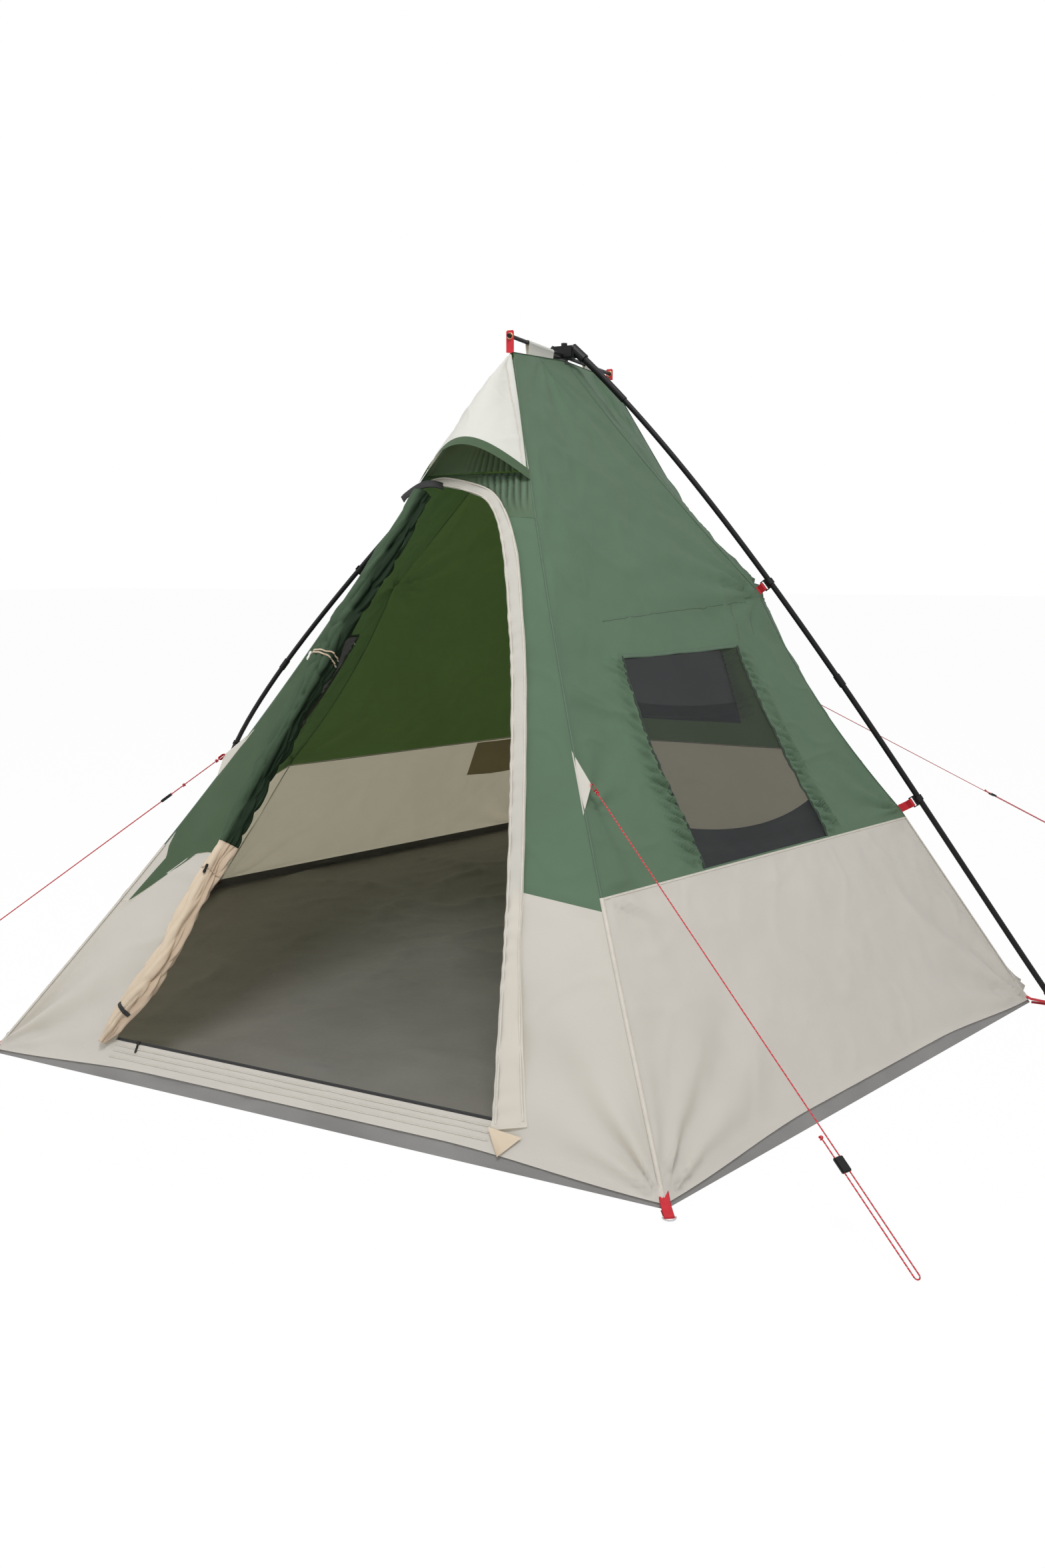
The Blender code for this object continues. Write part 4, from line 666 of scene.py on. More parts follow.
def swells(grid, *layers):
    """Random heights in layers of (height, feature size, seed)."""
    return sum(height * swell(grid, size, seed) for height, size, seed in layers)


def creases(grid, size, seed):
    """Narrow ridges where a random field crosses zero, as in cloth that was packed away."""
    return np.maximum(0.0, 1 - np.abs(swell(grid, size, seed)) * 7) ** 2


def fan(grid, at, toward, waves, spread, reach, height, seed=0.0):
    """Folds that run out from a held point."""
    at, toward = np.array(at, float), unit(np.array(toward, float))
    normal = facing(grid)
    toward = unit(toward - normal * (toward @ normal))
    v = grid - at
    r = np.linalg.norm(v, axis=-1)
    angle = np.arctan2(v @ np.cross(normal, toward), v @ toward)
    ripple = np.cos(waves * angle + 1.3 * swell(grid, 0.25, seed + 3) + seed)
    return height * ripple * np.exp(-(angle / spread) ** 2) * np.exp(-r / reach) * fade(r, 0.05)


def puckers(grid, a, b, spacing, offset, width, height, seed, slant):
    """Short wrinkles beside a sewn line from a to b, offset metres off it."""
    a, b = np.array(a, float), np.array(b, float)
    along = unit(b - a)
    v = grid - a
    t, d = v @ along, v @ np.cross(facing(grid), along)
    inside = fade(t + 0.01, 0.03) * fade(np.linalg.norm(b - a) + 0.01 - t, 0.03)
    phase = 2 * np.pi * (t + slant * d) / spacing + 2.6 * swell(grid, 0.09, seed)
    sharp = np.maximum(0.0, np.cos(phase)) ** 1.5
    patchy = np.clip(0.75 + 1.1 * swell(grid, 0.16, seed + 5), 0.15, 1.4)
    return height * sharp * patchy * inside * np.exp(-((d - offset) / width) ** 2)


def hemmed(relief, z, foot):
    """A skirt's folds, kept in front of the groundsheet's rim behind its hem."""
    return np.maximum(relief, -0.03 * fade(z - RIM_TOP, 0.06)) + HEM_PROUD * np.exp(-(z - foot) / 0.03)


def grid_mesh(name, grid, finish, hole=None, uv=None, closed=False):
    """A smooth mesh from a grid of points, with UVs in metres; closed joins the last column to the first."""
    rows, columns = grid.shape[:2]
    if uv is None:
        across = unit(grid[0, -1] - grid[0, 0])
        normal = unit(grid_normals(grid).mean((0, 1)))
        uv = np.stack([grid @ across, grid @ np.cross(normal, across)], -1)
    index = np.arange(rows * columns).reshape(rows, columns)
    right = np.roll(index, -1, 1) if closed else index[:, 1:]
    left = index if closed else index[:, :-1]
    faces = np.stack([left[:-1], right[:-1], right[1:], left[1:]], -1).reshape(-1, 4)
    if hole is not None:
        faces = faces[~hole.reshape(-1)]
    used, places = np.unique(faces, return_inverse=True)
    points = grid.reshape(-1, 3)[used]
    faces = places.reshape(-1, 4)
    first = points[faces[:, 0]]
    turn = np.cross(points[faces[:, 1]] - first, points[faces[:, 2]] - first)
    outward = points[faces].mean(1) - (points.mean(0) if closed else CENTRE)
    if (turn * outward).sum() < 0:
        faces = faces[:, ::-1]
    data = bpy.data.meshes.new(name)
    data.from_pydata(points.tolist(), [], faces.tolist())
    layer = data.uv_layers.new(name="UVMap")
    layer.data.foreach_set("uv", uv.reshape(-1, 2)[used][faces.ravel()].ravel())
    data.shade_smooth()
    data.materials.append(LOOKS[finish])
    made = bpy.data.objects.new(name, data)
    bpy.context.scene.collection.objects.link(made)
    return made


def close_ring(made, ring):
    """Close a tube's end with a fan of triangles round a middle point."""
    data = made.data
    start = len(data.vertices)
    middle = sum((data.vertices[k].co for k in ring), Vector()) / len(ring)
    points = [v.co.copy() for v in data.vertices] + [middle]
    faces = [tuple(f.vertices) for f in data.polygons]
    uvs = [tuple(layer.uv) for layer in data.uv_layers[0].data]
    for a, b in zip(ring, ring[1:] + ring[:1]):
        faces.append((a, b, start))
        uvs += [(0.0, 0.0), (0.004, 0.0), (0.002, 0.004)]
    name, finish = data.name, data.materials[0]
    made.data = bpy.data.meshes.new(name)
    made.data.from_pydata(points, [], faces)
    layer = made.data.uv_layers.new(name="UVMap")
    layer.data.foreach_set("uv", [c for uv in uvs for c in uv])
    made.data.shade_smooth()
    made.data.materials.append(finish)
    bpy.data.meshes.remove(data)


def close_ends(made, sides, rows):
    """Close both ends of a tube of rings."""
    for row in (0, rows - 1):
        close_ring(made, list(range(row * sides, (row + 1) * sides)))


def piece(made, finish, replaces=()):
    """Let a new piece ride on the tent and stand for its CAD nodes, which are hidden."""
    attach(made, "tent")
    if replaces:
        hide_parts(*replaces)
    return made


def area_of(grid, hole=None):
    """Area of a grid of points in square metres."""
    a = np.cross(grid[:-1, 1:] - grid[:-1, :-1], grid[1:, 1:] - grid[:-1, :-1])
    b = np.cross(grid[1:, 1:] - grid[:-1, :-1], grid[1:, :-1] - grid[:-1, :-1])
    quads = (np.linalg.norm(a, axis=-1) + np.linalg.norm(b, axis=-1)) / 2
    if hole is not None:
        quads = quads[~hole]
    return float(quads.sum())


def cloth_sheet(name, grid, finish, replaces, rests_on, relief=0.0, hole=None, held="stretched"):
    """A sheet of cloth: the grid moved outwards by its relief; its flat size is worked out but not kept."""
    grid = grid + grid_normals(grid) * np.broadcast_to(relief, grid.shape[:-1])[..., None]
    made = piece(grid_mesh(name, grid, finish, hole), finish, replaces)
    width = max(np.linalg.norm(grid[:, -1] - grid[:, 0], axis=-1).max(), 0.02)
    length = max(np.linalg.norm(grid[-1] - grid[0], axis=-1).max(), 0.02)
    area = min(area_of(grid, hole), width * length)
    if area < 0.31 * width * length:
        length = area / (0.5 * width)
    return made


def face_sheet(name, x, z, finish, replaces, rests_on, relief_of=None, **options):
    """A sheet in the door face's plane; relief_of gives its relief from its grid of points."""
    grid = face_point(x, z)
    return cloth_sheet(name, grid, finish, replaces, rests_on, relief_of(grid) if relief_of else 0.0, **options)


def tree_of(*objects):
    """A search tree over the faces of some pieces."""
    points, faces = [], []
    for made in objects:
        start = len(points)
        points += [v.co.copy() for v in made.data.vertices]
        faces += [tuple(start + k for k in f.vertices) for f in made.data.polygons]
    return BVHTree.FromPolygons(points, faces)


def strip(name, path, normals, width, proud, finish, arch=0.5):
    """A narrow closed strip along a path, slightly crowned, with its underside on the path."""
    path, normals = np.array(path, float), unit(np.array(normals, float))
    across = unit(np.cross(unit(np.gradient(path, axis=0)), normals))
    places = np.array((-1.0, -0.8, 0.0, 0.8, 1.0, 0.0))
    lifts = np.array((0.0, proud * (1 - arch / 2), proud, proud * (1 - arch / 2), 0.0, -proud * 0.2))
    grid = (path[:, None] + across[:, None] * (places * width / 2)[None, :, None]
            + normals[:, None] * lifts[None, :, None])
    uv = np.stack(np.broadcast_arrays(run_of(path)[:, None], places[None]), -1)
    return piece(grid_mesh(name, grid, finish, uv=uv, closed=True), finish)


def laid(path, tree, lift):
    """A path brought onto the nearest surface, and the surface's outward directions there."""
    places, normals = [], []
    for point in np.array(path, float):
        co, normal, _, _ = tree.find_nearest(Vector(point))
        if normal.dot(Vector(point - CENTRE)) < 0:
            normal.negate()
        places.append(co + normal * lift)
        normals.append(normal)
    return np.array(places), np.array(normals)


def straight(a, b, count):
    """Points on a straight line."""
    return np.array(a) + (np.array(b) - np.array(a)) * np.linspace(0, 1, count)[:, None]


def between(first, last, columns):
    """Grid rows that run straight from the points of one path to those of another."""
    u = np.linspace(0, 1, columns)[None, :, None]
    return first[:, None] * (1 - u) + last[:, None] * u


def tube(name, path, radius, finish, sides=10):
    """A round cord with UVs along it in metres and round it in turns; radius is one number or one per point."""
    path = np.array(path, float)
    tangent = unit(np.gradient(path, axis=0))
    lift = np.zeros_like(tangent)
    side = unit(np.cross(tangent[0], UP))
    for k in range(len(path)):
        side = unit(side - tangent[k] * (side @ tangent[k]))
        lift[k] = side
    other = np.cross(tangent, lift)
    angles = 2 * np.pi * np.arange(sides) / sides
    reach = np.broadcast_to(radius, len(path))[:, None]
    grid = (path[:, None] + lift[:, None] * (reach * np.cos(angles))[..., None]
            + other[:, None] * (reach * np.sin(angles))[..., None])
    uv = np.stack(np.broadcast_arrays(run_of(path)[:, None], (angles / (2 * np.pi))[None]), -1)
    return piece(grid_mesh(name, grid, finish, uv=uv, closed=True), finish)


def linked(name, data, place=(0.0, 0.0, 0.0), turn=(0.0, 0.0, 0.0)):
    """A new object in the scene."""
    made = bpy.data.objects.new(name, data)
    made.location, made.rotation_euler = place, turn
    bpy.context.scene.collection.objects.link(made)
    return made


def make_camera():
    """The photograph's viewpoint."""
    data = bpy.data.cameras.new("camera")
    data.lens = LENS
    bpy.context.scene.camera = linked("camera", data, CAMERA_PLACE, (math.pi / 2 - CAMERA_DIP, 0.0, CAMERA_TURN))


def make_floor():
    """A wide pale floor that turns white for the camera and keeps a soft shadow."""
    look = Look("pale_floor", Roughness=0.9)
    look.paint(Base_Color=look.tint((0.93, 0.93, 0.93), look.spread(look.noise(40.0, 3.0), 0.99, 1.01)))
    seen = look.math("MULTIPLY", look.node("LightPath", {}, "Is Camera Ray"), FLOOR_WHITE)
    look.overlay(seen, look.node("Emission", {}))
    data = bpy.data.meshes.new("floor")
    corners = ((-1, -1), (1, -1), (1, 1), (-1, 1))
    data.from_pydata([(x * FLOOR_HALF, y * FLOOR_HALF, FLOOR_Z) for x, y in corners], [], [(0, 1, 2, 3)])
    data.materials.append(look.made)
    linked("floor", data)


def make_light():
    """A white surround, and two large soft lamps."""
    world = bpy.data.worlds.new("studio")
    bpy.context.scene.world = world
    world.use_nodes = True
    nodes = Nodes(world.node_tree)
    rays = nodes.node("LightPath", {}).node.outputs
    seen = nodes.math("MAXIMUM", rays["Is Camera Ray"], nodes.math("MULTIPLY", rays["Is Glossy Ray"], GLOSSY_SHARE))
    strength = nodes.math("ADD", AMBIENT, nodes.math("MULTIPLY", seen, 1.0 - AMBIENT))
    nodes.feed(nodes.tree.nodes["Background"], {"Color": (1.0, 1.0, 1.0, 1.0), "Strength": strength})
    for name, place, size, power in LAMPS:
        data = bpy.data.lights.new(name, "AREA")
        data.size = size
        data.energy = power
        turn = (Vector(LAMP_AIM) - Vector(place)).to_track_quat("-Z", "Y").to_euler()
        linked(name, data, place, turn)
    bpy.context.scene.view_settings.view_transform = "Standard"


def patch_tip(side, end):
    """The outer tip of a guy patch, beyond the corner edge."""
    return corner_edge(side, end)[0](PATCH_TIP_Z) + np.array((side * PATCH_REACH, 0.0, 0.0))


def guy_line_direction(side, end):
    """A guy patch's tip and the direction from it to the peg."""
    x, y = FRONT_PEG if end < 0 else BACK_PEG
    tip = patch_tip(side, end)
    return tip, unit(np.array((side * x, y, 0.0)) - tip)


def guy_route(side, end, share):
    """A guy-line's route: down to the peg end, round it and back up past the tensioner."""
    x, y = FRONT_PEG if end < 0 else BACK_PEG
    tip, along = guy_line_direction(side, end)
    start = tip + along * (LOOP_REACH - LOOP_BACK + 0.0006 + 0.0004)
    foot = np.array((side * x, y, CORD_RADIUS * 1.4))
    across = unit(np.cross(foot - start, UP)) * side
    along = unit(foot - start)
    length = np.linalg.norm(foot - start)
    radius = STRAND_GAP / 2
    path = [start + along * (length - radius) * k / 60 for k in range(61)]
    centre = start + along * (length - radius) + across * radius
    for angle in np.pi * np.arange(1, 15) / 14:
        path.append(centre - across * (radius * math.cos(angle)) + along * (radius * math.sin(angle)))
    back = length * (1 - share) + CORD_TAIL
    first = start + along * (length - radius) + across * STRAND_GAP
    path += [first - along * (back - radius) * k / 40 for k in range(1, 41)]
    return np.array(path)


def knot(name, place, along, radius):
    """A small overhand knot: a cord wound nearly twice on itself."""
    along = unit(np.array(along, float))
    across = unit(np.cross(along, (0.3, 0.2, 1.0)))
    turns = np.linspace(0, 3.6 * np.pi, 40)
    path = (np.array(place) + across * (radius * np.cos(turns))[:, None] * (1 + 0.25 * np.cos(2 * turns))[:, None]
            + np.cross(along, across) * (radius * np.sin(turns))[:, None]
            + along * (radius * 0.9 * np.sin(turns * 0.55))[:, None])
    return tube(name, path, CORD_RADIUS, "cord", 8)


def make_cords():
    """The three taut guy-lines, each tied at both ends, on their routes from the part's source."""
    for name, side, end in (("front_right", 1, -1), ("front_left", -1, -1), ("back_right", 1, 1)):
        path = guy_route(side, end, TENSIONER_SHARES[name])
        line = tube("guy_line_look_" + name, path, CORD_RADIUS, "cord")
        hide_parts("guy_line_" + name)
        out, start = path[-1] - path[-2], path[1] - path[0]
        knots = [knot("guy_tail_knot_" + name, path[-1] + unit(out) * 0.002, out, 0.0032),
                 knot("guy_top_knot_" + name, path[0] + unit(start) * 0.006, start, 0.0034)]


def window_sides(window, share):
    """Shares of the wall's width at a window's two sides, at a share of its height."""
    foot, head = window[:2]
    return (foot[k] + (head[k] - foot[k]) * share for k in (0, 1))


def window_columns(window, share):
    """Shares of a wall's width for a row: whole columns at the window's sides, closer together beside them."""
    left, right = window_sides(window, share)
    before, inside, after = WINDOW_COLUMNS
    near = 1 - (1 - np.linspace(0, 1, before + 1)) ** 1.6
    far = np.linspace(0, 1, after + 1) ** 1.6
    return np.concatenate([left * near[:-1], np.linspace(left, right, inside + 1)[:-1], right + (1 - right) * far])


def windowed_wall(name, window):
    """A green wall round its window, the netting in it and the binding round the netting."""
    foot_z, head_z = window[2:]
    heights = np.concatenate([[SEAM_HEIGHT], np.linspace(foot_z, head_z, WINDOW_ROWS + 1),
                              np.linspace(head_z, RIDGE_MID_Z, ROWS_ABOVE + 1)[1:]])
    columns = np.array([window_columns(window, np.clip((z - foot_z) / (head_z - foot_z), 0, 1)) for z in heights])
    grid = wall_point(WALLS[name], columns, np.broadcast_to(heights[:, None], columns.shape))
    first, last = WINDOW_COLUMNS[0], WINDOW_COLUMNS[0] + WINDOW_COLUMNS[1]
    rows, inside = slice(1, WINDOW_ROWS + 2), slice(first, last + 1)
    hole = np.zeros((len(heights) - 1, columns.shape[1] - 1), bool)
    hole[1:WINDOW_ROWS + 1, first:last] = True
    relief = window_relief(grid, name, window) * fade(reach_in(grid), 0.03)
    # The left front wall takes the shaded copy of the green, with painted shade on its inside
    made = cloth_sheet("wall_look_" + name, grid, "left_green" if name == "left_front" else "green",
                       ["wall_" + name], ["hub"], relief, hole)
    moved = grid + grid_normals(grid) * relief[..., None]
    net = moved[rows, inside][::3, ::3].copy()
    net[1:-1, 1:-1] = grid[rows, inside][::3, ::3][1:-1, 1:-1]
    net = net - grid_normals(net) * 0.0012
    cloth_sheet("window_net_look_" + name, net, "net" if name == "right_front" else "back_net",
                ["window_net_" + name], ["wall_look_" + name],
                0.004 * swell(net, 0.2, 4.0) * fade(reach_in(net), 0.05))
    normals = grid_normals(moved)
    for word, part, finish, width in (("a", (slice(1, WINDOW_ROWS + 2, 3), first), "seam_dark", 0.010),
                                      ("b", (slice(1, WINDOW_ROWS + 2, 3), last), "seam_dark", 0.010),
                                      ("top", (WINDOW_ROWS + 1, inside), "seam_green", 0.012)):
        strip("window_edge_%s_%s" % (name, word), moved[part], normals[part], width, 0.0016, finish)
    return made


def wall_relief(grid, name):
    """Folds of a side wall: pulled from its tabs, its guy patch and the ridge."""
    side, end = 1 if "right" in name else -1, -1 if "front" in name else 1
    seed = 1.0 + 2 * side + end
    relief = swells(grid, (0.010, 0.45, seed), (0.0075, 0.13, seed + 9), (0.0030, 0.05, seed + 17))
    for at, toward, waves, spread, reach, height, shift in (
            ((side * TAB_UPPER[0], 0.0, TAB_UPPER[1]), (-side * 0.55, end * 0.75, 0.1), 13, 0.9, 0.18, 0.019, 0),
            ((side * TAB_LOWER[0], 0.0, TAB_LOWER[1]), (-side * 0.4, end * 0.8, 0.25), 11, 0.8, 0.16, 0.014, 1),
            ((0.0, end * 0.2, 1.94), (side * 0.5, end * 0.1, -1.0), 16, 0.7, 0.30, 0.011, 0),
            ((side * 0.60, end * 1.16, 0.72), (side * 0.2, -end * 0.4, 0.6), 10, 0.8, 0.16, 0.009, 2)):
        relief = relief + fan(grid, at, toward, waves, spread, reach, height, seed + shift)
    return relief + 0.0046 * creases(grid, 0.34, seed + 2) + 0.0030 * creases(grid, 0.15, seed + 6)


def window_relief(grid, name, window):
    """The wall's folds with the ruched casings beside its window."""
    foot, head, foot_z, head_z = window

    def at(share, height):
        return wall_point(WALLS[name], np.array(share), np.array(height))
    relief = swells(grid, (0.006, 0.45, 2.0), (0.0022, 0.13, 8.0)) if name == "back" else wall_relief(grid, name)
    centre = at(0.5 * (foot[0] + foot[1]), 0.5 * (foot_z + head_z))
    normal = facing(grid)
    lower = 0.45 + 0.55 * np.clip((head_z + 0.05 - grid[..., 2]) / (head_z - foot_z), 0, 1)
    ruched = 0.0
    for number, (a, b) in enumerate(((at(head[0], head_z), at(foot[0], foot_z)),
                                     (at(foot[1], foot_z), at(head[1], head_z)))):
        away = 1.0 if np.cross(normal, unit(b - a)) @ (a - centre) > 0 else -1.0
        for spacing, offset, width, height, seed, slant in PUCKERS:
            ruched = ruched + puckers(grid, a, b, spacing, away * offset, width, height, number + seed, away * slant)
    return relief + ruched * lower


def make_walls():
    """The green walls, their windows and seams."""
    made = []
    for name, window in WINDOWS.items():
        made.append(windowed_wall(name, window))
        make_cover(name, window)
    for name in ("right_back", "left_back"):
        across, heights = np.meshgrid(np.linspace(0, 1, 80), np.linspace(SEAM_HEIGHT, RIDGE_MID_Z, 110))
        grid = wall_point(WALLS[name], across, heights)
        made.append(cloth_sheet("wall_look_" + name, grid, "green", ["wall_" + name], ["hub"],
                                wall_relief(grid, name) * fade(reach_in(grid), 0.03)))
    return made


def make_cover(name, window):
    """A window's cover, let down inside and drooping between the window's bottom corners."""
    foot_z, head_z = window[2:]
    across, up = shares(60, 22)
    height = foot_z + (COVER_DROOP + COVER_END_RISE * (2 * across - 1) ** 2) * up
    left, right = window_sides(window, (height - foot_z) / (head_z - foot_z))
    grid = wall_point(WALLS[name], left + (right - left) * (-0.02 + 1.07 * across), height)
    hang = 0.004 + 0.020 * np.sin(np.pi * up) ** 0.6 * (0.45 + 0.55 * np.sin(np.pi * across))
    folds = 0.006 * np.sin(3.2 * np.pi * up + 5 * across) + 0.006 * swell(grid, 0.06, 3.0)
    grid = grid - grid_normals(grid) * (hang + folds * np.sin(np.pi * up) * 0.6)[..., None]
    cloth_sheet("window_cover_look_" + name, grid, "cover", ["window_cover_" + name], ["wall_look_" + name],
                held="gathered")


def make_skirts():
    """The cream skirts of the five closed walls."""
    made = []
    for number, (name, wall) in enumerate(WALLS.items()):
        across, up = shares(150, 56)
        width = np.linalg.norm(wall[0][0](0.0) - wall[1][0](0.0))
        foot = skirt_foot(np.minimum(across, 1 - across) * width)
        heights = foot + (SEAM_HEIGHT - foot) * up
        grid = wall_point(wall, across, heights)
        relief = swells(grid, (0.010, 0.5, number + 20.0), (0.0062, 0.12, number + 31.0),
                        (0.0026, 0.045, number + 37.0))
        for at, toward, waves, spread, reach, height, seed in (
                (grid[0, 0], grid[-1, -1], 15, 0.8, 0.36, 0.021, 0),
                (grid[0, -1], grid[-1, 0], 13, 0.8, 0.34, 0.020, 4),
                (grid[-1, 0], grid[0, -1], 12, 0.7, 0.22, 0.008, 7)):
            relief = relief + fan(grid, at, toward - at, waves, spread, reach, height, number + seed)
        relief = relief + 0.0046 * creases(grid, 0.5, number + 50) + 0.0030 * creases(grid, 0.22, number + 56)
        made.append(cloth_sheet("skirt_look_" + name, grid, "cream", ["skirt_" + name], ["groundsheet_look"],
                                hemmed(relief * fade(reach_in(grid), 0.03), heights, foot)))
    return made


def make_front():
    """The door face: cloth left and right of the doorway, skirts, sill, flap, hood and zip."""
    left = make_front_left()
    u, v = shares(8, 60)
    z = LEFT_TOP[0][1] - 0.004 + (LEFT_WEDGE[-1][0] - LEFT_TOP[0][1]) * v
    wedge = face_sheet("skirt_look_front_wedge", -face_half(z, -1) + (left_edge(z) + 0.006 + face_half(z, -1)) * u, z,
                       "cream", [], ["wall_look_front_left"])
    arch = make_arch_wall()
    crown = make_crown()
    skirts = [face_skirt("skirt_look_front_left", lambda h: -face_half(h, -1), door_left, left_top,
                         ["skirt_front"], 71.0, "left"),
              face_skirt("skirt_look_front_right", lambda h: arch_x(h, FLAP_OVERLAP), face_half,
                         lambda u: RIGHT_DOOR_Z + (RIGHT_DIP_Z - RIGHT_DOOR_Z) * u, [], 81.0, "right")]
    sill = make_sill()
    make_flap()
    make_hood()
    make_sill_zip()
    return [left, wedge, arch, crown, *skirts, sill]


def make_front_left():
    """The green cloth between the left corner edge and the door."""
    u, v = shares(50, 150)
    low = left_top(LEFT_TOP[1][0] + (1 - LEFT_TOP[1][0]) * u) - 0.004
    z = low + (DOOR_HEAD_Z - low) * v

    def relief(grid):
        folds = 0.007 * swell(grid * np.array((2.5, 1.0, 0.5)), 0.22, 61.0) + 0.004 * swell(grid, 0.07, 62.0)
        folds = folds + fan(grid, face_point(-0.22, 1.44), face_point(-0.5, 0.7) - face_point(-0.2, 1.5), 15,
                            0.5, 0.40, 0.012, 2.0)
        return folds * fade(reach_in(grid), 0.025) + 0.0012
    return face_sheet("wall_look_front_left", left_edge(z) + (door_left(z) - left_edge(z)) * u, z,
                      "front_green", ["wall_front_left"], ["hub"], relief)


def face_skirt(name, left, right, top, replaces, seed, held_at):
    """A cream piece of the door face between two sides given by height, with folds from one corner."""
    u, v = shares(60, 60)
    foot = skirt_foot(FACE_HALF_WIDTH - np.abs(left(HEM_HIGH) + (right(HEM_HIGH) - left(HEM_HIGH)) * u))
    z = foot + (top(u) - foot) * v

    def relief(grid):
        corner, far = (grid[0, 0], grid[-1, -1]) if held_at == "left" else (grid[0, -1], grid[-1, 0])
        folds = swells(grid, (0.008, 0.35, seed), (0.0046, 0.09, seed + 1))
        folds = folds + fan(grid, corner, far - corner, 14, 0.7, 0.38, 0.020, seed) + 0.003 * creases(grid, 0.3, seed)
        return hemmed(folds * fade(reach_in(grid), 0.03), z, foot)
    return face_sheet(name, left(z) + (right(z) - left(z)) * u, z, "cream", replaces, ["groundsheet_look"], relief)


def make_sill():
    """The cream strip under the doorway, with its rows of stitching."""
    u, v = shares(140, 16)
    floor = door_left(HEM_HIGH) + (arch_x(HEM_HIGH, FLAP_OVERLAP) - door_left(HEM_HIGH)) * u
    foot = skirt_foot(FACE_HALF_WIDTH - np.abs(floor))
    z = foot + (SILL_TOP - foot) * v
    left, right = door_left(z), arch_x(z, FLAP_OVERLAP)

    def relief(grid):
        folds = 0.004 * swell(grid, 0.12, 91.0) + 0.0016 * swell(grid * np.array((0.4, 1.0, 1.0)), 0.02, 92.0)
        return hemmed(folds * fade(reach_in(grid), 0.015), z, foot)
    made = face_sheet("skirt_look_sill", left + (right - left) * u, z, "cream", [], ["groundsheet_look"], relief)
    for number, height in enumerate(SILL_STITCHES):
        x = np.linspace(door_left(height) + 0.01, float(arch_x(np.array(height))) - 0.01, 60)
        path, normals = laid(face_point(x, height), tree_of(made), 0.0006)
        strip("sill_stitch_%d" % number, path, normals, 0.0028, 0.0009, "seam_cream")
    return made


def make_arch_wall():
    """The green cloth right of the doorway, up to where the pleated crown begins."""
    path, normal = arch_path(260)
    inner = path + normal * FLAP_OVERLAP
    inner = inner[(inner[:, 1] > RIGHT_DOOR_Z + 0.004) & (inner[:, 1] < PLEAT_FOOT_Z)]
    inner = np.vstack([[arch_x(RIGHT_DOOR_Z, FLAP_OVERLAP), RIGHT_DOOR_Z], inner])
    rise = (inner[:, 1] - RIGHT_DOOR_Z) / (PLEAT_FOOT_Z - RIGHT_DOOR_Z)
    edge_z = RIGHT_DIP_Z + (PLEAT_FOOT_Z - RIGHT_DIP_Z) * rise
    flat = between(inner, np.stack([face_half(edge_z), edge_z], -1), 26)

    def relief(grid):
        folds = swells(grid, (0.005, 0.16, 101.0), (0.0022, 0.05, 102.0)) + 0.002 * creases(grid, 0.2, 103.0)
        return folds * fade(reach_in(grid), 0.02)
    return face_sheet("wall_look_front_arch", flat[..., 0], flat[..., 1], "green", ["wall_front_arch"], ["hub"],
                      relief)


def make_crown():
    """The pleated cloth over the doorway, from the flap up to behind the hood's rim, with the hood's painted shadow
    on its left.
    """
    path, normal = arch_path(520)
    start = PLEAT_FOOT_Z - CROWN_OVERLAP
    inner = (path + normal * 0.010)[path[:, 1] > start][::2]
    inner = np.vstack([inner, [-face_half(CROWN_FOOT_Z, -1), CROWN_FOOT_Z]])
    climb = np.linspace(0, 1, len(inner))
    up = start + (CROWN_Z - PLEAT_FOOT_Z + CROWN_OVERLAP) * np.clip(climb / CROWN_TURN, 0, 1)
    far = np.clip((climb - CROWN_TURN) / (1 - CROWN_TURN), 0, 1)
    right, left = face_half(up), -face_half(CROWN_Z, -1)
    flat = between(inner, np.stack([right + (left - right) * far, up], -1), 30)

    def relief(grid):
        x, z = flat[..., 0], flat[..., 1]
        pleat = np.abs(np.sin((x + PLEAT_LEAN * (z - PLEAT_LEVEL)) * PLEAT_TURNS)) ** 0.8
        depth = 0.0110 * pleat * fade(x + 0.04, 0.10) * fade(z - PLEAT_FOOT_Z + 0.008, 0.05)
        depth = depth + 0.006 * swell(grid * np.array((1.6, 0.5, 0.5)), 0.05, 106.0)
        return depth * fade(reach_in(grid) - 0.018, 0.020) + 0.0010
    return face_sheet("crown_look", flat[..., 0], flat[..., 1], "pleated", [], ["wall_look_front_arch"], relief,
                      held="gathered")


